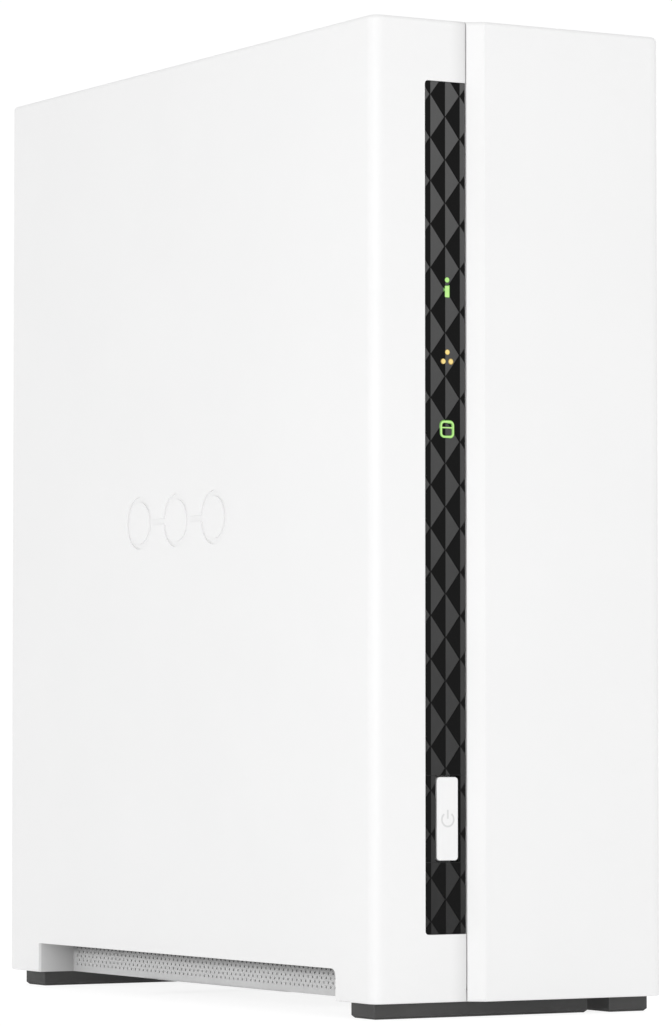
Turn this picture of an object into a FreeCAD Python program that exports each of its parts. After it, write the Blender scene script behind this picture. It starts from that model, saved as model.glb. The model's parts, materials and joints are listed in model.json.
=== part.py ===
import FreeCAD, Part
import math
import os
import re
import Sketcher

# A desktop network storage box for one drive: a plastic shell that carries everything, a side cover
# that slides off to the front, and the drive, boards, fan and sockets inside.
# Millimetres. X runs to the right of the front, Y to the back, Z up. The origin is under the middle
# of the box, on the surface it stands on.

doc = FreeCAD.newDocument("network_storage")

SIZES = [
    ("case_width", 64.0, "outside width over both shells"),
    ("case_depth", 156.3, "cover front to the screw heads at the back"),
    ("case_height", 188.6, "ground to the top"),
    ("shell_depth", 155.3, "cover front to the back edge of the shells"),
    ("wall", 2.2, "thickness of the plastic walls"),
    ("foot_height", 3.0, "ground to the underside of the shells"),
    ("corner_radius", 2.4, "upright outer corners"),
    ("edge_radius", 0.8, "top and bottom outer edges"),
    ("front_step", 2.0, "left front set back behind the cover front"),
    ("seam_in", 20.7, "left side to the cover's left edge"),
    ("seam_gap", 0.3, "gap between shell and cover"),
    ("bevel_width", 2.8, "sloping band on the cover's left edge"),
    ("base_split", 19.4, "middle of the seam under the case"),
    ("back_lip", 5.0, "turned-in edge at the back corners"),
    ("cover_return", 4.6, "depth of the cover's left edge behind the shell front"),
    ("rib_depth", 1.6, "stiffening ribs inside the cover"),
    ("rib_width", 1.2, "thickness of a stiffening rib"),
    ("strip_left", 11.45, "left side to the black strip"),
    ("strip_bottom", 15.7, "lower end of the black strip"),
    ("strip_top", 176.8, "upper end of the black strip"),
    ("strip_corner", 0.7, "left corners of the strip"),
    ("strip_sink", 0.35, "strip face behind the shell front"),
    ("strip_flange", 1.4, "strip flange behind the shell front wall"),
    ("strip_post_low", 62.0, "lower post behind the strip"),
    ("strip_post_high", 144.5, "upper post behind the strip"),
    ("icon_in", 16.4, "left side to the middle of the lights and the power button"),
    ("status_height", 137.4, "middle of the status light"),
    ("network_height", 124.3, "middle of the network light"),
    ("disk_height", 110.8, "middle of the disk light"),
    ("light_dot", 0.65, "radius of a light dot"),
    ("guide_gap", 0.05, "clearance round the light guides"),
    ("button_height", 37.4, "middle of the power button"),
    ("button_width", 4.66, "power button across"),
    ("button_length", 15.7, "power button along"),
    ("button_gap", 0.3, "gap round the power button"),
    ("button_proud", 0.3, "power button face in front of the strip"),
    ("button_travel", 1.0, "press of the power button"),
    ("emblem_back", 79.55, "cover front to the middle of the side emblem"),
    ("emblem_height", 96.3, "middle of the side emblem"),
    ("emblem_ring", 5.4, "outer radius of the emblem's rings"),
    ("emblem_line", 1.2, "width of the emblem's lines"),
    ("emblem_pitch", 15.7, "from one ring to the next"),
    ("emblem_depth", 0.3, "depth of the emblem's lines"),
    ("notch_front", 15.9, "cover front to the front of the air intake"),
    ("notch_back", 140.5, "cover front to the back of the air intake"),
    ("notch_height", 6.1, "height of the air intake"),
    ("notch_depth", 8.25, "side face to the intake grille"),
    ("notch_corner", 1.5, "rounded front corner of the air intake"),
    ("grille_thick", 1.2, "intake grille"),
    ("mesh_hole", 0.36, "corner radius of an intake hole"),
    ("mesh_pitch", 1.05, "spacing of the intake holes"),
    ("mesh_count", 117.0, "intake holes in a row"),
    ("foot_front", 4.7, "cover front to the front foot"),
    ("foot_depth", 8.5, "feet, front to back"),
    ("foot_back", 141.6, "cover front to the back foot"),
    ("foot_left", 1.9, "left side to the feet"),
    ("foot_right", 49.4, "left side to the right end of the shell's feet"),
    ("cover_foot_left", 53.5, "left side to the cover's feet"),
    ("cover_foot_right", 62.2, "left side to the right end of the cover's feet"),
    ("foot_chamfer", 0.5, "lower edges of the feet"),
    ("board_thick", 1.6, "circuit boards"),
    ("board_stand", 3.6, "posts under the main board"),
    ("board_bottom", 14.0, "lower edge of the main board"),
    ("board_top", 118.0, "upper edge of the main board"),
    ("board_front", 12.2, "cover front to the main board"),
    ("board_back", 151.2, "cover front to the back edge of the main board"),
    ("post_radius", 2.6, "screw posts"),
    ("screw_radius", 1.25, "small screws"),
    ("screw_head", 2.5, "head radius of the small screws"),
    ("head_high", 1.6, "head height of the small screws"),
    ("tiny_screw", 0.8, "front board screws"),
    ("tiny_head", 1.9, "head radius of the front board and drive lid screws"),
    ("panel_thick", 2.2, "back panel"),
    ("panel_gap", 0.3, "back panel to the cover"),
    ("port_gap", 0.3, "back panel openings round the sockets"),
    ("port_proud", 0.3, "sockets behind the back panel's outer face"),
    ("power_in_height", 25.0, "middle of the power inlet"),
    ("lan_height", 44.5, "middle of the network socket"),
    ("usb_fast_height", 66.5, "middle of the faster USB socket"),
    ("usb_height", 86.5, "middle of the other USB socket"),
    ("reset_height", 102.5, "middle of the reset button"),
    ("fan_size", 50.0, "fan frame across"),
    ("fan_thick", 15.0, "fan frame, front to back"),
    ("fan_x", -1.0, "middle of the fan, across"),
    ("fan_height", 147.0, "middle of the fan"),
    ("fan_bore", 23.4, "radius of the fan's air way"),
    ("fan_blade", 22.6, "radius over the blades"),
    ("fan_hub", 10.5, "radius of the fan's hub"),
    ("fan_screw_offset", 20.0, "fan screws from the middle"),
    ("slot_width", 2.6, "ring slots of the fan grille"),
    ("bridge_width", 2.4, "bridges across the ring slots"),
    ("drive_left", -3.5, "left face of the drive"),
    ("drive_thick", 26.1, "drive thickness"),
    ("drive_wide", 101.6, "drive width, front to back"),
    ("drive_long", 147.0, "drive length, upright"),
    ("drive_front", 18.15, "cover front to the drive"),
    ("drive_bottom", 22.0, "lower end of the drive"),
    ("disc_radius", 47.5, "discs in the drive"),
    ("disc_thick", 1.3, "one disc"),
    ("disc_pitch", 4.0, "from one disc to the next"),
    ("disc_up", 95.0, "lower end of the drive to the spindle"),
    ("pivot_up", 32.0, "lower end of the drive to the arm's pivot"),
    ("pivot_back", 77.0, "front side of the drive to the arm's pivot"),
    ("sheet_thick", 1.2, "sheet metal of the drive bracket"),
    ("bracket_gap", 1.5, "drive to the bracket's back plate"),
    ("tab_drop", 4.4, "inside of the roof to the bracket's upper tabs"),
    ("lid_thick", 1.6, "drive lid"),
    ("casting_floor", 3.5, "floor of the drive's casting"),
    ("grommet_thick", 1.2, "rubber rings between bracket and drive"),
    ("backplane_height", 11.4, "underside of the drive's socket board"),
]

sheet = doc.addObject("Spreadsheet::Sheet", "Sizes")
for row, (alias, size, note) in enumerate(SIZES, start=1):
    sheet.set(f"A{row}", note)
    sheet.set(f"B{row}", str(size))
    sheet.setAlias(f"B{row}", alias)
doc.recompute()

# Places that many sub-parts share, as expressions of the sheet's cells.
LEFT = "(-case_width / 2)"
RIGHT = "(case_width / 2)"
FRONT = "(-case_depth / 2)"
SHELL_FRONT = "(-case_depth / 2 + front_step)"
BACK = "(-case_depth / 2 + shell_depth)"
PANEL_FACE = "(-case_depth / 2 + shell_depth - panel_thick)"
FLOOR = "(foot_height)"
DECK = "(foot_height + wall)"
ROOF = "(case_height - wall)"
TOP = "(case_height)"
SEAM = "(-case_width / 2 + seam_in)"
SHELL_EDGE = "(-case_width / 2 + seam_in - seam_gap)"
ICON_X = "(-case_width / 2 + icon_in)"
BOARD_X = "(-case_width / 2 + wall + board_stand)"
BOARD_FACE = "(-case_width / 2 + wall + board_stand + board_thick)"
FRONT_BOARD = "(-case_depth / 2 + 10.6)"
GRILLE_X = "(-case_width / 2 + notch_depth)"
DRIVE_FRONT = "(-case_depth / 2 + drive_front)"
DRIVE_BACK = "(-case_depth / 2 + drive_front + drive_wide)"
DRIVE_RIGHT = "(drive_left + drive_thick)"
DRIVE_TOP = "(drive_bottom + drive_long)"
DISC_Y = "(-case_depth / 2 + drive_front + drive_wide / 2)"
DISC_Z = "(drive_bottom + disc_up)"
PIVOT_Y = "(-case_depth / 2 + drive_front + pivot_back)"
PIVOT_Z = "(drive_bottom + pivot_up)"
FAN_FRONT = "(-case_depth / 2 + shell_depth - panel_thick - fan_thick)"
BEYOND = "1"


# ---------------------------------------------------------------- helpers

def ex(text):
    """The text with every alias in it pointing at the sheet."""
    return re.sub(r"[a-z][a-z_]*", lambda word: "Sizes." + word.group(0), text)


def value(text):
    """The number that an expression of the sheet's cells gives now."""
    result = sheet.evalExpression(ex(text))
    return float(getattr(result, "Value", result))


def block(x, y, z):
    """A box between two limits on each axis."""
    box = doc.addObject("Part::Box", "Block")
    for side, axis, (low, high) in zip(("Length", "Width", "Height"), "xyz", (x, y, z)):
        box.setExpression(side, ex(f"({high}) - ({low})"))
        box.setExpression("Placement.Base." + axis, ex(low))
    return box


def centred(x, y, z, size):
    """A box of a size about a middle."""
    limits = [(f"{c} - ({s}) / 2", f"{c} + ({s}) / 2") for c, s in zip((x, y, z), size)]
    return block(*limits)


TURN_TO = {
    "x": FreeCAD.Rotation(FreeCAD.Vector(0, 1, 0), 90),
    "y": FreeCAD.Rotation(FreeCAD.Vector(1, 0, 0), -90),
    "z": FreeCAD.Rotation(),
}


def rod(axis, start, radius, length):
    """A cylinder from a start point along an axis."""
    cylinder = doc.addObject("Part::Cylinder", "Rod")
    cylinder.Placement = FreeCAD.Placement(FreeCAD.Vector(), TURN_TO[axis])
    cylinder.setExpression("Radius", ex(radius))
    cylinder.setExpression("Height", ex(length))
    for letter, place in zip("xyz", start):
        cylinder.setExpression("Placement.Base." + letter, ex(place))
    return cylinder


def fused(*parts):
    joint = doc.addObject("Part::MultiFuse", "Fused")
    joint.Shapes = list(parts)
    joint.Refine = True
    return joint


def less(base, *tools):
    cut = doc.addObject("Part::Cut", "Cut")
    cut.Base = base
    cut.Tool = tools[0] if len(tools) == 1 else fused(*tools)
    return cut


def together(*parts):
    group = doc.addObject("Part::Compound", "Group")
    group.Links = list(parts)
    return group


def rounded(solid, radius, wanted):
    """A fillet on the edges of a primitive whose bounding boxes the test picks."""
    fillet = doc.addObject("Part::Fillet", "Rounded")
    fillet.Base = solid
    edges = enumerate(solid.Shape.Edges, start=1)
    fillet.Edges = [(number, radius, radius) for number, edge in edges if wanted(edge.BoundBox)]
    doc.recompute()
    return fillet


def new_body():
    return doc.addObject("PartDesign::Body", "Body")


def origin_feature(body, role):
    return [item for item in body.Origin.OriginFeatures if item.Role == role][0]


def sketch_on(body, plane, offset):
    """An empty sketch on one of the body's own origin planes, moved along its normal."""
    sketch = body.newObject("Sketcher::SketchObject", "Sketch")
    sketch.AttachmentSupport = [(origin_feature(body, plane + "_Plane"), "")]
    sketch.MapMode = "FlatFace"
    sketch.setExpression("AttachmentOffset.Base.z", ex(offset))
    return sketch


def outline(sketch, points):
    """A closed outline of straight lines, each corner held by two sizes from the sheet."""
    corners = [FreeCAD.Vector(value(u), value(v), 0) for u, v in points]
    first = sketch.GeometryCount
    count = len(points)
    for index, corner in enumerate(corners):
        sketch.addGeometry(Part.LineSegment(corner, corners[(index + 1) % count]))
    for index in range(count):
        following = first + (index + 1) % count
        sketch.addConstraint(Sketcher.Constraint("Coincident", first + index, 2, following, 1))
    for index, pair in enumerate(points):
        for kind, text, number in zip(("DistanceX", "DistanceY"), pair, corners[index]):
            held = Sketcher.Constraint(kind, -1, 1, first + index, 1, number)
            place = sketch.addConstraint(held)
            sketch.setExpression(f"Constraints[{place}]", ex(text))


def ring(sketch, u, v, radius):
    """A circle held by its middle and its radius."""
    middle = FreeCAD.Vector(value(u), value(v), 0)
    number = value(radius)
    circle = sketch.addGeometry(Part.Circle(middle, FreeCAD.Vector(0, 0, 1), number))
    for kind, text, size in (("DistanceX", u, middle.x), ("DistanceY", v, middle.y)):
        place = sketch.addConstraint(Sketcher.Constraint(kind, -1, 1, circle, 3, size))
        sketch.setExpression(f"Constraints[{place}]", ex(text))
    place = sketch.addConstraint(Sketcher.Constraint("Radius", circle, number))
    sketch.setExpression(f"Constraints[{place}]", ex(radius))


def rectangle(u, v):
    return [(u[0], v[0]), (u[1], v[0]), (u[1], v[1]), (u[0], v[1])]


def feature_start(plane, low, high):
    """Sketch offset for a feature between two limits: the XZ plane's normal points to -Y."""
    return f"-({high})" if plane == "XZ" else low


def prism(body, plane, low, high, *outlines, circles=()):
    """Material between two limits along the plane's normal."""
    sketch = sketch_on(body, plane, feature_start(plane, low, high))
    for points in outlines:
        outline(sketch, points)
    for circle in circles:
        ring(sketch, *circle)
    pad = body.newObject("PartDesign::Pad", "Pad")
    pad.Profile = sketch
    pad.setExpression("Length", ex(f"({high}) - ({low})"))
    return pad


def hollow(body, plane, low, high, *outlines, circles=()):
    """A pocket between two limits along the plane's normal, which has to remove something."""
    doc.recompute()
    before = body.Shape.Volume
    sketch = sketch_on(body, plane, feature_start(plane, low, high))
    for points in outlines:
        outline(sketch, points)
    for circle in circles:
        ring(sketch, *circle)
    pocket = body.newObject("PartDesign::Pocket", "Pocket")
    pocket.Profile = sketch
    pocket.Reversed = True
    pocket.setExpression("Length", ex(f"({high}) - ({low})"))
    doc.recompute()
    if body.Shape.Volume >= before:
        raise RuntimeError("a pocket cuts nothing in " + body.Label)
    return pocket


def round_edges(body, radius, wanted):
    """A fillet on the body's edges that the test picks."""
    doc.recompute()
    base = body.Tip
    edges = enumerate(base.Shape.Edges, start=1)
    names = [f"Edge{number}" for number, edge in edges if wanted(edge)]
    fillet = body.newObject("PartDesign::Fillet", "Fillet")
    fillet.Base = (base, names)
    fillet.setExpression("Radius", ex(radius))
    doc.recompute()
    if "Invalid" in fillet.State:
        raise RuntimeError(f"a fillet of {radius} failed on {len(names)} edges")
    return fillet


def lies_at(edge, **places):
    """Whether the whole edge lies at the given x, y or z."""
    box = edge.BoundBox
    limits = {"x": (box.XMin, box.XMax), "y": (box.YMin, box.YMax), "z": (box.ZMin, box.ZMax)}
    near = 0.01
    return all(
        abs(limits[axis][0] - value(place)) < near and abs(limits[axis][1] - value(place)) < near
        for axis, place in places.items()
    )


def row_of(body, feature, axis, pitch, count):
    """The feature repeated along one of the body's own axes."""
    pattern = body.newObject("PartDesign::LinearPattern", "Row")
    pattern.Originals = [feature]
    pattern.Direction = (origin_feature(body, axis + "_Axis"), [""])
    pattern.Mode = "Spacing"
    pattern.setExpression("Offset", ex(pitch))
    pattern.setExpression("Occurrences", ex(count))
    body.Tip = pattern
    return pattern


def round_of(body, feature, axis, count):
    """The feature repeated all the way round one of the body's own axes."""
    pattern = body.newObject("PartDesign::PolarPattern", "Round")
    pattern.Originals = [feature]
    pattern.Axis = (origin_feature(body, axis + "_Axis"), [""])
    pattern.Angle = 360
    pattern.Occurrences = count
    body.Tip = pattern
    return pattern


def moved_to(item, x, y, z):
    for letter, place in zip("xyz", (x, y, z)):
        item.setExpression("Placement.Base." + letter, ex(place))
    return item


def screws(places, axis, head_start, head_length, shank_start, shank_length):
    """Pan-head screws: the head and the shank are joined, each screw a solid of its own."""
    made = []
    for u, v in places:
        def at(w):
            return {"x": (w, u, v), "y": (u, w, v), "z": (u, v, w)}[axis]
        head = rod(axis, at(head_start), "screw_head", head_length)
        shank = rod(axis, at(shank_start), "screw_radius", shank_length)
        made.append(fused(head, shank))
    return together(*made)


# ---------------------------------------------------------------- shell and cover

MAIN_BOARD_POSTS = [
    (f"{FRONT} + board_front + 6", "board_bottom + 6"),
    (f"{FRONT} + board_front + 6", "board_top - 6"),
    (f"{FRONT} + board_back - 30", "board_bottom + 4.5"),
    (f"{FRONT} + board_back - 6", "board_top - 6"),
]
BACKPLANE_POSTS = [("8", "-34"), ("8", "16"), ("-14", "-34"), ("-14", "16")]
BRACKET_FEET = [("-10", "-48"), ("-10", "30")]
BRACKET_TABS = [("-19", "-40"), ("-19", "20")]
PANEL_POSTS = [(f"{LEFT} + 8.5", f"{ROOF} - 5"), (f"{LEFT} + 17", f"{DECK} + 4.2")]
COVER_BOSSES = [("24.2", f"{DECK} + 4.3"), ("24.2", f"{ROOF} - 4.3")]
STRIP_POSTS = ("strip_post_low", "strip_post_high")


def make_left_shell():
    """Left side, left front, left top and the whole base, open to the right and the back."""
    body = new_body()
    section = [
        (LEFT, FLOOR), ("base_split - seam_gap / 2", FLOOR), ("base_split - seam_gap / 2", DECK),
        (SHELL_EDGE, DECK), (SHELL_EDGE, TOP), (LEFT, TOP),
    ]
    prism(body, "XZ", SHELL_FRONT, BACK, section)
    corner_lines = [SHELL_FRONT, BACK]
    round_edges(body, "corner_radius",
                lambda edge: any(lies_at(edge, x=LEFT, y=line) for line in corner_lines))
    left = value(LEFT)
    edge_of_roof = value(SHELL_EDGE) - 0.5
    round_edges(body, "edge_radius",
                lambda edge: lies_at(edge, z=TOP) and edge.BoundBox.XMin < edge_of_roof
                and not lies_at(edge, x=SHELL_EDGE))
    round_edges(body, "edge_radius / 2",
                lambda edge: lies_at(edge, z=FLOOR) and edge.BoundBox.XMax < left + 3
                and edge.BoundBox.XMin < left + 0.1)

    inside = (f"{LEFT} + wall", f"{RIGHT} + {BEYOND}")
    hollow(body, "XZ", f"{SHELL_FRONT} + wall", f"{BACK} - wall",
           rectangle(inside, (DECK, ROOF)))
    hollow(body, "XZ", f"{BACK} - wall", f"{BACK} + {BEYOND}",
           rectangle((f"{LEFT} + back_lip", f"{RIGHT} + {BEYOND}"), (DECK, ROOF)))
    clear_front = f"{FRONT} + wall + seam_gap"
    hollow(body, "XZ", f"{SHELL_FRONT} - {BEYOND}", clear_front,
           rectangle((SHELL_EDGE, f"{RIGHT} + {BEYOND}"), (f"{FLOOR} - {BEYOND}", f"{DECK} + 1")))

    notch_ends = (f"{FRONT} + notch_front", f"{FRONT} + notch_back")
    box_ends = (f"{FRONT} + notch_front - wall", f"{FRONT} + notch_back + wall")
    prism(body, "XZ", *box_ends,
          rectangle((f"{LEFT} + wall / 2", f"{GRILLE_X} + grille_thick + wall / 2"),
                    (f"{FLOOR} + 0.5", f"{FLOOR} + notch_height + wall * 0.8")))
    hollow(body, "YZ", f"{LEFT} - {BEYOND}", f"{GRILLE_X} + grille_thick",
           rectangle(notch_ends, (f"{FLOOR} - {BEYOND}", f"{FLOOR} + notch_height")))
    notch_roof = f"{FLOOR} + notch_height"
    round_edges(body, "notch_corner",
                lambda edge: lies_at(edge, y=notch_ends[0], z=notch_roof))

    hollow(body, "XZ", f"{SHELL_FRONT} - {BEYOND}", f"{SHELL_FRONT} + wall + {BEYOND}",
           rectangle((f"{LEFT} + strip_left", f"{SHELL_EDGE} + {BEYOND}"),
                     ("strip_bottom", "strip_top")))
    round_edges(body, "strip_corner",
                lambda edge: any(lies_at(edge, x=f"{LEFT} + strip_left", z=end)
                                 for end in ("strip_bottom", "strip_top")))

    engrave_emblem(body)
    add_shell_posts(body)
    return body


def add_shell_posts(body):
    """Bored posts for the main board, the backplane, the drive's bracket and the back panel."""
    posts = [(y, z, "post_radius") for y, z in MAIN_BOARD_POSTS]
    prism(body, "YZ", f"{LEFT} + wall / 2", BOARD_X, circles=posts)
    bores = [(y, z, "screw_radius") for y, z in MAIN_BOARD_POSTS]
    hollow(body, "YZ", f"{LEFT} + wall", f"{BOARD_X} + {BEYOND}", circles=bores)
    posts = [(x, y, "post_radius") for x, y in BACKPLANE_POSTS]
    prism(body, "XY", f"{DECK} - wall / 2", "backplane_height", circles=posts)
    bores = [(x, y, "screw_radius") for x, y in BACKPLANE_POSTS]
    hollow(body, "XY", DECK, f"backplane_height + {BEYOND}", circles=bores)
    bores = [(x, y, "screw_radius") for x, y in BRACKET_FEET]
    hollow(body, "XY", f"{FLOOR} + 0.4", f"{DECK} + {BEYOND}", circles=bores)
    posts = [(x, y, "post_radius") for x, y in BRACKET_TABS]
    prism(body, "XY", f"{ROOF} - tab_drop", f"{ROOF} + wall / 2", circles=posts)
    bores = [(x, y, "screw_radius") for x, y in BRACKET_TABS]
    hollow(body, "XY", f"{ROOF} - tab_drop - {BEYOND}", ROOF, circles=bores)
    reaches = [(PANEL_POSTS[0][1], f"{TOP} - 0.8"), (f"{FLOOR} + 0.5", PANEL_POSTS[1][1])]
    for (x, z), reach in zip(PANEL_POSTS, reaches):
        prism(body, "XZ", f"{PANEL_FACE} - 12", PANEL_FACE,
              rectangle((f"{x} - post_radius", f"{x} + post_radius"), reach))
        prism(body, "XZ", f"{PANEL_FACE} - 12", PANEL_FACE, circles=[(x, z, "post_radius")])
        hollow(body, "XZ", f"{PANEL_FACE} - 9", f"{PANEL_FACE} + {BEYOND}",
               circles=[(x, z, "screw_radius")])


def engrave_emblem(body):
    """Three rings joined by two bars, cut shallow into the left side: a plain network sign."""
    depth = (f"{LEFT} - {BEYOND}", f"{LEFT} + emblem_depth")
    middle = f"{FRONT} + emblem_back"
    rings = []
    for step in (-1, 0, 1):
        place = f"{middle} + emblem_pitch * ({step})"
        rings.append((place, "emblem_height", "emblem_ring"))
        rings.append((place, "emblem_height", "emblem_ring - emblem_line"))
    hollow(body, "YZ", *depth, circles=rings)
    half_line = "emblem_line / 2"
    bars = []
    for step in (-1, 1):
        place = f"{middle} + emblem_pitch / 2 * ({step})"
        reach = f"(emblem_pitch / 2 - emblem_ring + {half_line})"
        bars.append(rectangle((f"{place} - {reach}", f"{place} + {reach}"),
                              (f"emblem_height - {half_line}", f"emblem_height + {half_line}")))
    hollow(body, "YZ", *depth, *bars)


def make_case_cover():
    """Right side, right front with its sloping left band, right top and a strip of the base."""
    body = new_body()
    left_edge = [
        (SEAM, SHELL_FRONT), (f"{SEAM} + bevel_width", FRONT), (RIGHT, FRONT),
        (RIGHT, BACK), (SEAM, BACK),
    ]
    prism(body, "XY", FLOOR, TOP, left_edge)
    bevel_end = value(SEAM) + value("bevel_width")
    round_edges(body, "corner_radius",
                lambda edge: lies_at(edge, x=RIGHT, y=FRONT) or lies_at(edge, x=RIGHT, y=BACK))
    round_edges(body, "bevel_width / 6",
                lambda edge: lies_at(edge, x=f"{SEAM} + bevel_width", y=FRONT))
    round_edges(body, "edge_radius",
                lambda edge: lies_at(edge, z=TOP) and not lies_at(edge, x=SEAM))
    round_edges(body, "edge_radius / 2",
                lambda edge: lies_at(edge, z=FLOOR) and edge.BoundBox.XMax > bevel_end + 1
                and not lies_at(edge, y=BACK))

    hollow(body, "XZ", f"{FRONT} + wall", f"{BACK} - wall",
           rectangle((f"{SEAM} + wall * 0.8", f"{RIGHT} - wall"), (DECK, ROOF)))
    hollow(body, "XZ", f"{BACK} - wall", f"{BACK} + {BEYOND}",
           rectangle((f"{SEAM} - {BEYOND}", f"{RIGHT} - back_lip"), (DECK, ROOF)))
    hollow(body, "XZ", f"{SHELL_FRONT} + cover_return", f"{BACK} - wall + 0.01",
           rectangle((f"{SEAM} - {BEYOND}", f"{SEAM} + wall * 0.8"), (DECK, ROOF)))
    base_edge = "base_split + seam_gap / 2"
    hollow(body, "XZ", f"{FRONT} + wall", f"{BACK} + {BEYOND}",
           rectangle((f"{SEAM} - {BEYOND}", base_edge),
                     (f"{FLOOR} - {BEYOND}", f"{DECK} + seam_gap")))

    wall_inside = f"{RIGHT} - wall"
    for step in range(1, 5):
        y = f"{FRONT} + shell_depth * {step} / 5"
        prism(body, "YZ", f"{wall_inside} - rib_depth", f"{wall_inside} + wall / 2",
              rectangle((f"{y} - rib_width / 2", f"{y} + rib_width / 2"),
                        (f"{DECK} - wall / 2", f"{ROOF} + wall / 2")))
    middle = f"({DECK} + {ROOF}) / 2"
    prism(body, "YZ", f"{wall_inside} - rib_depth", f"{wall_inside} + wall / 2",
          rectangle((f"{FRONT} + wall / 2", f"{BACK} - wall / 2"),
                    (f"{middle} - rib_width / 2", f"{middle} + rib_width / 2")))

    boss_ends = (f"{PANEL_FACE} - panel_gap - 11", f"{PANEL_FACE} - panel_gap")
    for (x, z), upper in zip(COVER_BOSSES, (False, True)):
        low = f"{z} - 3.4" if upper else f"{DECK} - wall / 2"
        high = f"{ROOF} + wall / 2" if upper else f"{z} + 3.4"
        prism(body, "XZ", *boss_ends,
              rectangle((f"{x} - 3.4", f"{wall_inside} + wall / 2"), (low, high)))
        hollow(body, "XZ", f"{PANEL_FACE} - panel_gap - 9", f"{PANEL_FACE} + {BEYOND}",
               circles=[(x, z, "screw_radius + 0.06")])
    return body


def make_foot(x, y):
    """A flat bar under the case with its lower edges taken off."""
    bar = block(x, y, ("0", FLOOR))
    doc.recompute()
    taken = value("foot_chamfer")
    chamfer = doc.addObject("Part::Chamfer", "Foot")
    chamfer.Base = bar
    edges = enumerate(bar.Shape.Edges, start=1)
    chamfer.Edges = [(number, taken, taken) for number, edge in edges if edge.BoundBox.ZMax < 0.01]
    return chamfer


def make_intake_grille():
    """The perforated strip at the back of the air intake, three staggered rows of holes."""
    body = new_body()
    ends = (f"{FRONT} + notch_front", f"{FRONT} + notch_back")
    faces = (GRILLE_X, f"{GRILLE_X} + grille_thick")
    top = f"{FLOOR} + notch_height"
    prism(body, "YZ", *faces, rectangle(ends, (FLOOR, top)))
    round_edges(body, "notch_corner", lambda edge: lies_at(edge, y=ends[0], z=top))
    holes = []
    for line in range(3):
        y = f"{ends[0]} + mesh_pitch * {0.9 + line % 2 / 2}"
        z = f"{FLOOR} + 1.7 + mesh_pitch * {line * 0.95:.3f}"
        corners = []
        for turn in range(30, 390, 60):
            across = math.cos(math.radians(turn))
            along = math.sin(math.radians(turn))
            corners.append((f"{y} + mesh_hole * {across:.4f}", f"{z} + mesh_hole * {along:.4f}"))
        holes.append(corners)
    pocket = hollow(body, "YZ", *faces, *holes)
    row_of(body, pocket, "Y", "mesh_pitch", "mesh_count")
    return body


PORT_OPENINGS = [
    ("power_in_height", "11", "9"),
    ("lan_height", "13.5", "16"),
    ("usb_fast_height", "6.6", "14"),
    ("usb_height", "6.6", "14"),
]
RESET_X = f"{BOARD_FACE} + 4"
FAN_SCREWS = [(f"fan_x {a} fan_screw_offset", f"fan_height {b} fan_screw_offset")
              for a in "+-" for b in "+-"]
GRILLE_RINGS = ("6", "10.6", "15.2", "19.8")


def make_back_panel():
    """The plate between the shells at the back, with the sockets' openings and the fan grille."""
    depth = (PANEL_FACE, BACK)
    through = (f"{PANEL_FACE} - {BEYOND}", f"{BACK} + {BEYOND}")
    start = through[0]
    length = f"{through[1]} - ({through[0]})"
    plate = block((f"{LEFT} + back_lip", f"{RIGHT} - back_lip - panel_gap"), depth,
                  (DECK, f"{ROOF} - panel_gap"))
    tools = [block(("base_split - seam_gap / 2 - 1", RIGHT), through,
                   (f"{DECK} - {BEYOND}", f"{DECK} + panel_gap"))]
    for middle, height, width in PORT_OPENINGS:
        half = f"{width} / 2 + port_gap"
        tools.append(block((f"{BOARD_FACE} - port_gap", f"{BOARD_FACE} + {height} + port_gap"),
                           through, (f"{middle} - ({half})", f"{middle} + {half}")))
    tools.append(rod("y", (RESET_X, start, "reset_height"), "1.6", length))
    for x, z in PANEL_POSTS + COVER_BOSSES + FAN_SCREWS:
        tools.append(rod("y", (x, start, z), "screw_radius + 0.3", length))
    tools.append(block(("10.5", "13.5"), through, ("60", "67")))
    middle = ("fan_x", start, "fan_height")
    rings = [less(rod("y", middle, f"{inner} + slot_width", length),
                  rod("y", middle, inner, length)) for inner in GRILLE_RINGS]
    bridges = [centred("fan_x", BACK, "fan_height", ("fan_size", "20", "bridge_width")),
               centred("fan_x", BACK, "fan_height", ("bridge_width", "20", "fan_size"))]
    slots = less(together(*rings), *bridges)
    return less(plate, *tools, slots)


# ---------------------------------------------------------------- front: strip, lights and button

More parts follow.
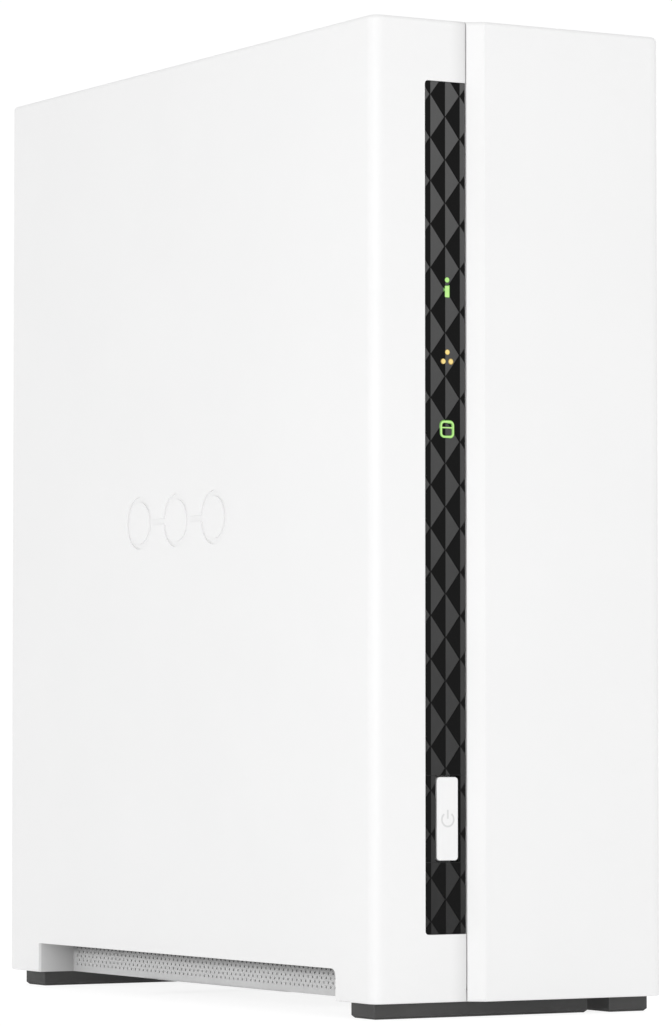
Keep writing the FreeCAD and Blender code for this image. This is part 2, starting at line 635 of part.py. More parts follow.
def make_indicator_strip():
    """The black strip beside the seam, with a flange behind the shell's front wall."""
    face = f"{SHELL_FRONT} + strip_sink"
    wall_back = f"{SHELL_FRONT} + wall"
    fit = 0.05
    plain = block((f"{LEFT} + strip_left + {fit}", SHELL_EDGE), (face, wall_back),
                  (f"strip_bottom + {fit}", f"strip_top - {fit}"))
    doc.recompute()
    front = rounded(plain, value("strip_corner"),
                    lambda box: box.XMax < value(SHELL_EDGE) - 1 and box.YMax - box.YMin > 1)
    flange = block((f"{LEFT} + strip_left - 1.5", SHELL_EDGE),
                   (wall_back, f"{wall_back} + strip_flange"),
                   ("strip_bottom - 1.5", "strip_top + 1.5"))
    posts = [rod("y", (ICON_X, wall_back, z), "1.8", f"{FRONT_BOARD} - ({wall_back})")
             for z in STRIP_POSTS]
    whole = fused(front, flange, *posts)
    deep = (f"{SHELL_FRONT} - {BEYOND}", f"{wall_back} + strip_flange + {BEYOND}")
    start = deep[0]
    length = f"{deep[1]} - ({deep[0]})"
    width = "button_width / 2 + button_gap"
    long = "button_length / 2 + button_gap"
    tools = [block((f"{ICON_X} - ({width})", f"{ICON_X} + {width}"), deep,
                   (f"button_height - ({long})", f"button_height + {long}"))]
    for x, z, size in STATUS_SHAPES + NETWORK_SHAPES:
        tools.append(icon_piece(x, z, size, start, length, "guide_gap"))
    tools += [icon_piece("0", z, size, start, length, "guide_gap") for z, size in DISK_OUTER]
    pilots = [rod("y", (ICON_X, f"{FRONT_BOARD} - 4", z), "tiny_screw", "5") for z in STRIP_POSTS]
    return less(whole, *tools, *pilots)


# Each icon shape: offset from the icon's middle line, height, and (radius,) or (width, height).
STATUS_SHAPES = [("0", "status_height + 1.7", ("light_dot",)),
                 ("0", "status_height - 0.5", ("light_dot * 2", "light_dot * 3.8"))]
NETWORK_SHAPES = [("0.05", "network_height + 1.1", ("light_dot",)),
                  ("-0.82", "network_height - 0.65", ("light_dot",)),
                  ("0.82", "network_height - 0.65", ("light_dot",))]
DISK_OUTER = [("disk_height", ("light_dot * 5", "light_dot * 5.2"))]
DISK_INNER = [("disk_height + light_dot * 1.15", ("light_dot * 3.2", "light_dot * 1.1")),
              ("disk_height - light_dot * 0.75", ("light_dot * 3.2", "light_dot * 1.9"))]


def icon_piece(x, z, size, start, length, grow):
    """One dot or bar of an icon, grown all round, along Y."""
    place = f"{ICON_X} + {x}"
    if len(size) == 1:
        return rod("y", (place, start, z), f"{size[0]} + {grow}", length)
    width, height = size
    return block((f"{place} - ({width}) / 2 - ({grow})", f"{place} + ({width}) / 2 + {grow}"),
                 (start, f"{start} + {length}"),
                 (f"{z} - ({height}) / 2 - ({grow})", f"{z} + ({height}) / 2 + {grow}"))


def make_light_guide(height, shapes, holes=()):
    """A clear moulding: a foot behind the strip and the icon's raised shapes through it."""
    face = f"{SHELL_FRONT} + strip_sink"
    behind = f"{SHELL_FRONT} + wall + strip_flange"
    foot = block((f"{ICON_X} - 2.6", f"{ICON_X} + 2.6"), (behind, f"{FRONT_BOARD} - 1.1"),
                 (f"{height} - 3.2", f"{height} + 3.2"))
    length = f"{behind} - ({face})"
    raised = [icon_piece(x, z, size, face, length, "0") for x, z, size in shapes]
    if holes:
        sunk = "0.8"
        openings = [icon_piece("0", z, size, face, sunk, "0") for z, size in holes]
        raised = [less(raised[0], *openings)]
    return fused(foot, *raised)


def make_indicator_leds():
    """Three light-emitting chips on the front board."""
    return together(*[
        centred(ICON_X, f"{FRONT_BOARD} - 0.45", height, ("2", "0.9", "3"))
        for height in ("status_height", "network_height", "disk_height")
    ])


def make_front_board():
    board = block((f"{LEFT} + 11.1", f"{SHELL_EDGE} - 0.4"),
                  (FRONT_BOARD, f"{FRONT_BOARD} + board_thick"), ("28", "148"))
    bores = [rod("y", (ICON_X, f"{FRONT_BOARD} - {BEYOND}", z), "1.1", "board_thick + 2")
             for z in STRIP_POSTS]
    return less(board, *bores)


def make_front_board_screws():
    made = []
    for z in STRIP_POSTS:
        back = f"{FRONT_BOARD} + board_thick"
        head = rod("y", (ICON_X, back, z), "tiny_head", "1.3")
        shank = rod("y", (ICON_X, f"{FRONT_BOARD} - 3.4", z), "tiny_screw", "board_thick + 3.5")
        made.append(fused(head, shank))
    return together(*made)


def make_power_button():
    """A tall key in the strip with a flange behind it and a stem towards its switch."""
    face = f"{SHELL_FRONT} + strip_sink - button_proud"
    behind = f"{SHELL_FRONT} + wall + strip_flange + button_gap"
    ends = ("button_height - button_length / 2", "button_height + button_length / 2")
    key = block((f"{ICON_X} - button_width / 2", f"{ICON_X} + button_width / 2"),
                (face, f"{behind} + 0.1"), ends)
    doc.recompute()
    front = value(face)
    corners = rounded(key, value("button_width * 0.15"), lambda box: box.YMax - box.YMin > 1)
    softened = rounded(corners, 0.25, lambda box: abs(box.YMax - front) < 0.01)
    flange = block((f"{ICON_X} - button_width / 2 - 1.2", f"{ICON_X} + button_width / 2 + 1.0"),
                   (behind, f"{behind} + 0.9"), (f"{ends[0]} - 1.2", f"{ends[1]} + 1.2"))
    stem = rod("y", (ICON_X, behind, "button_height"), "1.0", f"{FRONT_BOARD} - 2.55 - ({behind})")
    return fused(softened, flange, stem)


def make_power_switch():
    """A small push switch on the front board, its well open to the button's stem."""
    case = centred(ICON_X, f"{FRONT_BOARD} - 1.1", "button_height", ("4.6", "2.2", "4.6"))
    well = rod("y", (ICON_X, f"{FRONT_BOARD} - 3", "button_height"), "1.3", "1.9")
    return less(case, well)


def make_front_header():
    """The block that joins the front board to the main board's front edge."""
    housing = block((BOARD_FACE, f"{BOARD_FACE} + 5.4"),
                    (f"{FRONT_BOARD} + board_thick", f"{FRONT} + 19"), ("84", "100"))
    pins = [block((f"{BOARD_FACE} + 1.4", f"{BOARD_FACE} + 2.0"),
                  (f"{FRONT} + 18.5", f"{FRONT} + 21"), (f"{z} - 0.3", f"{z} + 0.3"))
            for z in range(86, 100, 2)]
    return fused(housing, *pins)


# ---------------------------------------------------------------- main board

def make_main_board():
    board = block((BOARD_X, BOARD_FACE), (f"{FRONT} + board_front", f"{FRONT} + board_back"),
                  ("board_bottom", "board_top"))
    bores = [rod("x", (f"{BOARD_X} - {BEYOND}", y, z), "screw_radius + 0.2", "board_thick + 2")
             for y, z in MAIN_BOARD_POSTS]
    return less(board, *bores)


def on_board(y, z, height, size_y, size_z):
    """A box standing on the main board's face."""
    return block((BOARD_FACE, f"{BOARD_FACE} + {height}"),
                 (f"{y} - {size_y} / 2", f"{y} + {size_y} / 2"),
                 (f"{z} - {size_z} / 2", f"{z} + {size_z} / 2"))


def make_heat_sink():
    """A finned block over the processor."""
    start, fins, pitch = -9.0, 8, 4.4
    height = ("58", "90")
    base = block((f"{BOARD_FACE} + 1.6", f"{BOARD_FACE} + 4.2"), (f"{start}", "23"), height)
    blades = [block((f"{BOARD_FACE} + 4", f"{BOARD_FACE} + 11"),
                    (f"{start} + {pitch} * {step}", f"{start} + {pitch} * {step} + 1.2"), height)
              for step in range(fins)]
    return fused(base, *blades)


def make_capacitors():
    places = [("-48", "30"), ("-48", "40"), ("36", "24"), ("36", "34")]
    return together(*[rod("x", (BOARD_FACE, y, z), "3.15", "7.5") for y, z in places])


COIN_CELL_PLACE = ("-34", "68")


def make_coin_cell_holder():
    outer = rod("x", (BOARD_FACE, *COIN_CELL_PLACE), "11.6", "3")
    well = rod("x", (f"{BOARD_FACE} + 0.8", *COIN_CELL_PLACE), "10.1", "5")
    slot = block((f"{BOARD_FACE} + 0.8", f"{BOARD_FACE} + 5"), ("-37", "-31"), ("76", "82"))
    return less(outer, well, slot)


def make_reset_switch():
    """A small switch lying at the board's back edge, its well open to the back."""
    case = block((BOARD_FACE, f"{BOARD_FACE} + 7"), (f"{PANEL_FACE} - 6", f"{PANEL_FACE} - 1.4"),
                 ("reset_height - 3", "reset_height + 3"))
    well = rod("y", (RESET_X, f"{PANEL_FACE} - 4", "reset_height"), "1.3", "4")
    return less(case, well)


def make_reset_button():
    """The switch's plunger, reached through the back panel's hole."""
    return rod("y", (RESET_X, f"{PANEL_FACE} - 3.2", "reset_height"), "1.0", "3.6")


def socket_shell(height, width, length, middle):
    """Outer box of a socket that looks out of the back panel."""
    return block((BOARD_FACE, f"{BOARD_FACE} + {height}"),
                 (f"{BACK} - port_proud - {length}", f"{BACK} - port_proud"),
                 (f"{middle} - {width} / 2", f"{middle} + {width} / 2"))


def make_lan_socket():
    """A network jack: a shielded box with a stepped opening for the plug and its latch."""
    box = socket_shell("13.5", "16", "21", "lan_height")
    mouth = (f"{BACK} - port_proud - 14", f"{BACK} + {BEYOND}")
    steps = [("2.2", "9.4", "5.9"), ("9.3", "10.8", "3.1"), ("10.7", "12.2", "1.7")]
    openings = [block((f"{BOARD_FACE} + {low}", f"{BOARD_FACE} + {high}"), mouth,
                      (f"lan_height - {half}", f"lan_height + {half}"))
                for low, high, half in steps]
    return less(box, *openings)


def make_lan_contacts():
    """Eight sprung wires that slope into the network jack."""
    made = []
    for place in range(8):
        z = f"lan_height + {1.02 * (place - 3.5):.2f}"
        made.append(block((f"{BOARD_FACE} + 2.2", f"{BOARD_FACE} + 3.2"), (f"{BACK} - 14.3", f"{BACK} - 5"),
                          (f"{z} - 0.2", f"{z} + 0.2")))
    return together(*made)


def make_usb_socket(middle):
    """A USB socket: a metal shell."""
    box = socket_shell("6.6", "14", "15", middle)
    mouth = block((f"{BOARD_FACE} + 0.6", f"{BOARD_FACE} + 6.0"),
                  (f"{BACK} - port_proud - 12", f"{BACK} + {BEYOND}"),
                  (f"{middle} - 6.3", f"{middle} + 6.3"))
    return less(box, mouth)


def make_usb_tongue(middle):
    """The plastic tongue that carries a USB socket's contacts."""
    return block((f"{BOARD_FACE} + 3.6", f"{BOARD_FACE} + 5.5"),
                 (f"{BACK} - port_proud - 12", f"{BACK} - port_proud - 1.4"),
                 (f"{middle} - 5.5", f"{middle} + 5.5"))


def make_power_inlet():
    box = socket_shell("11", "9", "14", "power_in_height")
    bore = rod("y", (f"{BOARD_FACE} + 6.3", f"{BACK} - 11", "power_in_height"), "3.15", "12")
    return less(box, bore)


def make_power_pin():
    return rod("y", (f"{BOARD_FACE} + 6.3", f"{BACK} - 11", "power_in_height"), "1.0", "9.6")


# ---------------------------------------------------------------- drive

def make_drive_case():
    """The drive's casting: open to the right over the discs and the arm."""
    body = new_body()
    low = "drive_left + board_thick"
    high = f"{DRIVE_RIGHT} - lid_thick"
    prism(body, "YZ", low, high, rectangle((DRIVE_FRONT, DRIVE_BACK), ("drive_bottom", DRIVE_TOP)))
    round_edges(body, "2.5", lambda edge: edge.BoundBox.XMax - edge.BoundBox.XMin > 5)
    disc_well = (DISC_Y, DISC_Z, "disc_radius + 1.2")
    hollow(body, "YZ", f"{low} + casting_floor", f"{high} + {BEYOND}", circles=[disc_well])
    hollow(body, "YZ", f"{low} + casting_floor", f"{high} + {BEYOND}",
           rectangle((f"{DRIVE_FRONT} + 24", f"{DRIVE_BACK} - 3.5"),
                     ("drive_bottom + 8", "drive_bottom + 78")))
    plug_y = (f"{DRIVE_FRONT} + 22", f"{DRIVE_FRONT} + 65")
    hollow(body, "YZ", f"{low} - {BEYOND}", f"{low} + 3",
           rectangle(plug_y, (f"drive_bottom - {BEYOND}", "drive_bottom + 7")))
    for ends in ((f"{DRIVE_FRONT} - {BEYOND}", f"{DRIVE_FRONT} + 3"),
                 (f"{DRIVE_BACK} - 3", f"{DRIVE_BACK} + {BEYOND}")):
        hollow(body, "XZ", *ends,
               circles=[(DRIVE_HOLE_X, z, "screw_radius") for z in DRIVE_HOLES])
    return body


DRIVE_HOLE_X = "(drive_left + 6.35)"
DRIVE_HOLES = ("drive_bottom + 28.5", "drive_bottom + 130.1")


def make_drive_lid():
    """The drive's steel lid with rounded corners."""
    plate = block((f"{DRIVE_RIGHT} - lid_thick", DRIVE_RIGHT),
                  (f"{DRIVE_FRONT} + 1.2", f"{DRIVE_BACK} - 1.2"),
                  ("drive_bottom + 4", f"{DRIVE_TOP} - 1.2"))
    doc.recompute()
    lid = rounded(plate, 6.0, lambda box: box.XMax - box.XMin > 1)
    wells = [rod("x", (f"{DRIVE_RIGHT} - 0.7", y, z), "2.1", "2") for y, z in LID_SCREWS]
    return less(lid, *wells)


LID_SCREWS = [(f"{DRIVE_FRONT} + {y}", f"drive_bottom + {z}")
              for y, z in ((6, 9), (95.6, 9), (6, 62), (95.6, 72), (7, 140), (94.6, 140))]


def make_lid_screws():
    return together(*[rod("x", (f"{DRIVE_RIGHT} - 0.7", y, z), "tiny_head", "0.6")
                      for y, z in LID_SCREWS])


def make_drive_board():
    """The drive's own circuit board on its left face."""
    return block(("drive_left", "drive_left + board_thick"),
                 (f"{DRIVE_FRONT} + 5", f"{DRIVE_BACK} - 5"),
                 ("drive_bottom + 7.5", "drive_bottom + 80"))


def make_drive_plug():
    """The drive's combined data and power plug, open downwards."""
    y = (f"{DRIVE_FRONT} + 22.2", f"{DRIVE_FRONT} + 64.8")
    box = block(("drive_left + 0.1", "drive_left + board_thick + 2.9"), y,
                ("drive_bottom + 0.2", "drive_bottom + 7"))
    mouth = block(("drive_left + 0.9", "drive_left + 3.7"),
                  (f"{y[0]} + 1", f"{y[1]} - 1"), (f"drive_bottom - {BEYOND}", "drive_bottom + 5.5"))
    return less(box, mouth)


def make_spindle():
    """The motor's fixed base under the discs."""
    return rod("x", ("drive_left + board_thick + casting_floor", DISC_Y, DISC_Z), "13", "1.2")


def make_disc_stack():
    """Two discs, the ring between them and the clamp on top, which turn together."""
    start = "drive_left + board_thick + 5.0"
    discs = [rod("x", (f"{start} + 3 + disc_pitch * {number}", DISC_Y, DISC_Z),
                 "disc_radius", "disc_thick")
             for number in range(2)]
    hub = rod("x", (start, DISC_Y, DISC_Z), "12.5", "3 + disc_pitch + disc_thick")
    clamp = rod("x", (f"{start} + 3 + disc_pitch + disc_thick", DISC_Y, DISC_Z), "15", "1.4")
    return fused(hub, *discs, clamp)


def make_head_arm():
    """Pivot block, three thin arms and the coil, standing beside the discs at rest."""
    start = "drive_left + board_thick + 5.0"
    levels = [f"{start} + {offset}" for offset in (0.9, 5.15, 9.4)]
    pivot = rod("x", (f"{start} + 0.2", PIVOT_Y, PIVOT_Z), "6.5", "10.6")
    arms = []
    for level in levels:
        arm = doc.addObject("Part::Feature", "Arm")
        arm.Shape = arm_blade(value(level), 0.85)
        arms.append(arm)
    coil = doc.addObject("Part::Feature", "Coil")
    coil.Shape = coil_paddle(value(f"{start} + 4.2"), 2.6)
    return fused(pivot, *arms, coil)


def pivot_turn(shape, degrees):
    """The shape turned about the arm's pivot."""
    pivot = FreeCAD.Vector(0, value(PIVOT_Y), value(PIVOT_Z))
    shape.rotate(pivot, FreeCAD.Vector(1, 0, 0), degrees)
    return shape


ARM_REACH = 46.0
ARM_PARK = 66.0
ARM_SWING = 40.0
COIL_REACH = 19.0


def tapered(x, thick, near, far, reach):
    """A flat tapered bar from the pivot along +Z."""
    y, z = value(PIVOT_Y), value(PIVOT_Z)
    corners = [(y - near, z), (y - far, z + reach), (y + far, z + reach), (y + near, z)]
    points = [FreeCAD.Vector(x, *corner) for corner in corners]
    face = Part.Face(Part.makePolygon(points + points[:1]))
    return face.extrude(FreeCAD.Vector(thick, 0, 0))


def arm_blade(x, thick):
    return pivot_turn(tapered(x, thick, 4.5, 1.2, ARM_REACH), ARM_PARK - 90)


def coil_paddle(x, thick):
    return pivot_turn(tapered(x, thick, 4.0, 10.0, COIL_REACH), ARM_PARK + 90)


def make_coil_magnet():
    """The curved magnet plate under the arm's coil."""
    x = value("drive_left + board_thick + casting_floor")
    y, z = value(PIVOT_Y), value(PIVOT_Z)
    inner, outer = 9.5, 21.0
    spread = math.radians(44)
    aim = math.radians(ARM_PARK + ARM_SWING / 2 - 180)

    def at(radius, angle):
        return FreeCAD.Vector(x, y + radius * math.cos(angle), z + radius * math.sin(angle))
    near, far = aim - spread, aim + spread
    rim = [
        Part.Arc(at(inner, near), at(inner, aim), at(inner, far)).toShape(),
        Part.LineSegment(at(inner, far), at(outer, far)).toShape(),
        Part.Arc(at(outer, far), at(outer, aim), at(outer, near)).toShape(),
        Part.LineSegment(at(outer, near), at(inner, near)).toShape(),
    ]
    magnet = doc.addObject("Part::Feature", "Magnet")
    magnet.Shape = Part.Face(Part.Wire(rim)).extrude(FreeCAD.Vector(3.2, 0, 0))
    return magnet


def make_drive_bracket():
    """A folded sheet: a back plate, two side flanges, two feet on the base and two tabs at the top."""
    plate_x = ("drive_left - bracket_gap - sheet_thick", "drive_left - bracket_gap")
    front = f"{DRIVE_FRONT} - grommet_thick"
    back = f"{DRIVE_BACK} + grommet_thick"
    body = new_body()
    channel = [
        (plate_x[0], f"{front} - sheet_thick"), ("drive_left + 13", f"{front} - sheet_thick"),
        ("drive_left + 13", front), (plate_x[1], front), (plate_x[1], back), ("drive_left + 13", back),
        ("drive_left + 13", f"{back} + sheet_thick"), (plate_x[0], f"{back} + sheet_thick"),
    ]
    prism(body, "XY", "drive_bottom - 3", f"{DRIVE_TOP} - 4", channel)
    for side in ("front", "back"):
        ends = (f"{front} - sheet_thick - {BEYOND}", f"{front} + {BEYOND}")
        if side == "back":
            ends = (f"{back} - {BEYOND}", f"{back} + sheet_thick + {BEYOND}")
        hollow(body, "XZ", *ends,
               circles=[(DRIVE_HOLE_X, z, "screw_radius + 0.2") for z in DRIVE_HOLES])
    hollow(body, "YZ", f"{plate_x[0]} - {BEYOND}", f"{plate_x[1]} + {BEYOND}",
           *[rectangle((f"{y}", f"{y} + 22"), (f"{z}", f"{z} + 26"))
             for y in (-50, -20, 10) for z in (56, 92, 128)])
    for x, y in BRACKET_FEET:
        prism(body, "YZ", *plate_x, rectangle((f"{y} - 6", f"{y} + 6"), (DECK, "drive_bottom")))
        prism(body, "XY", DECK, f"{DECK} + sheet_thick",
              rectangle((f"{x} - 5", plate_x[1]), (f"{y} - 6", f"{y} + 6")))
    tab_top = f"{ROOF} - tab_drop"
    for x, y in BRACKET_TABS:
        prism(body, "YZ", *plate_x,
              rectangle((f"{y} - 6", f"{y} + 6"), (f"{DRIVE_TOP} - 6", tab_top)))
        prism(body, "XY", f"{tab_top} - sheet_thick", tab_top,
              rectangle((f"{x} - 5", plate_x[1]), (f"{y} - 6", f"{y} + 6")))
    holes = [(x, y, "screw_radius + 0.2") for x, y in BRACKET_FEET]
    hollow(body, "XY", f"{DECK} - {BEYOND}", f"{DECK} + sheet_thick + {BEYOND}", circles=holes)
    holes = [(x, y, "screw_radius + 0.2") for x, y in BRACKET_TABS]
    hollow(body, "XY", f"{tab_top} - sheet_thick - {BEYOND}", f"{tab_top} + {BEYOND}", circles=holes)
    return body


def make_bracket_screws():
    """Two screws down into the base and two up into the posts under the roof."""
    down = screws(BRACKET_FEET, "z", f"{DECK} + sheet_thick", "head_high", f"{FLOOR} + 0.6",
                  "wall + sheet_thick - 0.5")
    tab_under = f"{ROOF} - tab_drop - sheet_thick"
    up = screws(BRACKET_TABS, "z", f"{tab_under} - head_high", "head_high", f"{tab_under} - 0.1",
                "sheet_thick + 4")
    return together(down, up)


def make_drive_grommets():
    """Four rubber rings between the bracket's flanges and the drive."""
    made = []
    for z in DRIVE_HOLES:
        for start in (f"{DRIVE_FRONT} - grommet_thick", DRIVE_BACK):
            ring_out = rod("y", (DRIVE_HOLE_X, start, z), "3.6", "grommet_thick")
            ring_in = rod("y", (DRIVE_HOLE_X, f"{start} - {BEYOND}", z), "screw_radius + 0.2",
                          "grommet_thick + 2")
            made.append(less(ring_out, ring_in))
    return together(*made)


def make_drive_screws():
    """Screws through the bracket's flanges and the rubber rings into the drive's sides."""
    places = [(DRIVE_HOLE_X, z) for z in DRIVE_HOLES]
    reach = "(sheet_thick + grommet_thick)"
    front = screws(places, "y", f"{DRIVE_FRONT} - {reach} - head_high", "head_high",
                   f"{DRIVE_FRONT} - {reach} - 0.2", f"{reach} + 2.8")
    back = screws(places, "y", f"{DRIVE_BACK} + {reach}", "head_high", f"{DRIVE_BACK} - 2.6",
                  f"{reach} + 2.8")
    return together(front, back)


def make_backplane():
    """The board under the drive that carries its socket."""
    board = block(("-21", "13"), ("-40", "22"),
                  ("backplane_height", "backplane_height + board_thick"))
    bores = [rod("z", (x, y, f"backplane_height - {BEYOND}"), "screw_radius + 0.2",
                 "board_thick + 2")
             for x, y in BACKPLANE_POSTS]
    return less(board, *bores)


def make_drive_socket():
    """The socket that meets the drive's plug: a base and the tongue that goes into the plug."""
    y = (f"{DRIVE_FRONT} + 22.2", f"{DRIVE_FRONT} + 64.8")
    base = block(("drive_left - 1.2", "drive_left + 5.6"), y,
                 ("backplane_height + board_thick", "drive_bottom - 0.4"))
    tongue = block(("drive_left + 1.3", "drive_left + 3.3"), (f"{y[0]} + 1.6", f"{y[1]} - 1.6"),
                   ("drive_bottom - 1", "drive_bottom + 4.5"))
    return fused(base, tongue)


def make_board_link():
    """The connector block between the main board and the drive's socket board."""
    return block((BOARD_FACE, f"{BOARD_FACE} + 8"), ("-28", "6"),
                 ("backplane_height + board_thick", "backplane_height + board_thick + 7"))


# ---------------------------------------------------------------- fan

def make_fan_frame():
    """A square frame with a round air way, and a motor mount on four arms at the back."""
    half = "fan_size / 2"
    square = block((f"fan_x - {half}", f"fan_x + {half}"), (FAN_FRONT, PANEL_FACE),
                   (f"fan_height - {half}", f"fan_height + {half}"))
    start = f"{FAN_FRONT} - {BEYOND}"
    air = rod("y", ("fan_x", start, "fan_height"), "fan_bore", "fan_thick + 2")
    bores = [rod("y", (x, start, z), "screw_radius + 0.6", "fan_thick + 2") for x, z in FAN_SCREWS]
    lead_notch = block((f"fan_x - {half} + 4", f"fan_x - {half} + 7"),
                       (f"{PANEL_FACE} - 3", f"{PANEL_FACE} + 1"),
                       (f"fan_height - {half} - 1", f"fan_height - {half} + 6"))
    shell = less(square, air, *bores, lead_notch)
    mount_y = (f"{PANEL_FACE} - 3.4", f"{PANEL_FACE} - 0.6")
    plate = rod("y", ("fan_x", mount_y[0], "fan_height"), "fan_hub", "2.8")
    arms = [centred("fan_x", f"{PANEL_FACE} - 2", "fan_height", size)
            for size in (("fan_bore * 2 + 1", "2.4", "2.2"), ("2.2", "2.4", "fan_bore * 2 + 1"))]
    bearing = rod("y", ("fan_x", f"{PANEL_FACE} - 8", "fan_height"), "3.2", "6")
    bore = rod("y", ("fan_x", f"{PANEL_FACE} - 9", "fan_height"), "1.55", "6")
    return less(fused(shell, plate, *arms, bearing), bore)


def make_fan_rotor():
    """A hub cup, its shaft and seven pitched blades, built round the shaft and moved into place."""
    body = new_body()
    prism(body, "XZ", "1", "9.2", circles=[("0", "0", "fan_hub")])
    hollow(body, "XZ", "2.2", "10", circles=[("0", "0", "fan_hub - 1.4")])
    prism(body, "XZ", "1.5", "11", circles=[("0", "0", "1.5")])
    pitch = math.radians(38)
    thick = 1.1
    sections = []
    for radius, chord, turn in (("fan_hub - 0.7", 6.6, pitch), ("fan_blade", 8.6, pitch * 0.8)):
        sketch = sketch_on(body, "YZ", radius)
        along = (math.sin(turn), math.cos(turn))
        across = (-math.cos(turn), math.sin(turn))
        corners = []
        for side_along, side_across in ((-1, -1), (1, -1), (1, 1), (-1, 1)):
            y = side_along * along[0] * chord / 2 + side_across * across[0] * thick / 2
            z = side_along * along[1] * chord / 2 + side_across * across[1] * thick / 2
            corners.append((f"5.1 + ({y:.4f})", f"0 + ({z:.4f})"))
        outline(sketch, corners)
        sections.append(sketch)
    doc.recompute()
    blade = body.newObject("PartDesign::AdditiveLoft", "Blade")
    blade.Profile = sections[0]
    blade.Sections = sections[1:]
    doc.recompute()
    round_of(body, blade, "Y", 7)
    return moved_to(body, "fan_x", FAN_FRONT, "fan_height")


def make_fan_screws():
    return screws(FAN_SCREWS, "y", BACK, "0.9", f"{PANEL_FACE} - 5", "panel_thick + 5.1")


def make_fan_lead():
    """The fan's lead, along the wall from the frame to its plug on the main board."""
    points = [(-21.0, 70.0, 121.6), (-21.0, 70.0, 110.5), (-19.0, 60.0, 104.0), (-19.0, 50.0, 104.0)]
    path = rounded_path([FreeCAD.Vector(*point) for point in points])
    lead = doc.addObject("Part::Feature", "Lead")
    lead_radius = 0.9
    start = path.Edges[0]
    profile = Part.Wire(Part.makeCircle(lead_radius, start.valueAt(start.FirstParameter),
                                        start.tangentAt(start.FirstParameter)))
    lead.Shape = path.makePipeShell([profile], True, False)
    length = path.Length * math.pi * lead_radius ** 2
    if abs(lead.Shape.Volume - length) > length * 0.02:
        raise RuntimeError("the fan lead has the wrong volume")
    return lead


def rounded_path(points):
    """Straight runs joined by tangent arcs, as large as their two runs allow."""
    edges = []
    at = points[0]
    for before, corner, after in zip(points, points[1:], points[2:]):
        run_in, run_out = corner - before, after - corner
        cut = 0.45 * min(run_in.Length, run_out.Length)
        first = corner - run_in.normalize() * cut
        last = corner + run_out.normalize() * cut
        turn = run_in.getAngle(run_out)
        radius = cut / math.tan(turn / 2)
        inward = (run_out - run_in).normalize()
        middle = corner + inward * (radius / math.cos(turn / 2) - radius)
        edges.append(Part.LineSegment(at, first).toShape())
        edges.append(Part.Arc(first, middle, last).toShape())
        print(f"fan lead bend radius {radius:.1f} mm")
        at = last
    edges.append(Part.LineSegment(at, points[-1]).toShape())
    return Part.Wire(edges)


def make_fan_plug():
    """The fan's plug in its header on the main board."""
    return block((BOARD_FACE, f"{BOARD_FACE} + 7.4"), ("43.5", "50"), ("100", "108"))


def make_case_screws():
    """Four alike screws at the back: two hold the cover and two the back panel."""
    return screws(COVER_BOSSES + PANEL_POSTS, "y", BACK, "1.0", f"{PANEL_FACE} - 8", "panel_thick + 8.2")


# ---------------------------------------------------------------- all sub-parts

def feet_x(left, right):
    return (f"{LEFT} + {left}", f"{LEFT} + {right}")


front_feet_y = (f"{FRONT} + foot_front", f"{FRONT} + foot_front + foot_depth")
back_feet_y = (f"{FRONT} + foot_back", f"{FRONT} + foot_back + foot_depth")
cover_front_y = (f"{FRONT} + foot_front - 1.4", f"{FRONT} + foot_front + foot_depth")

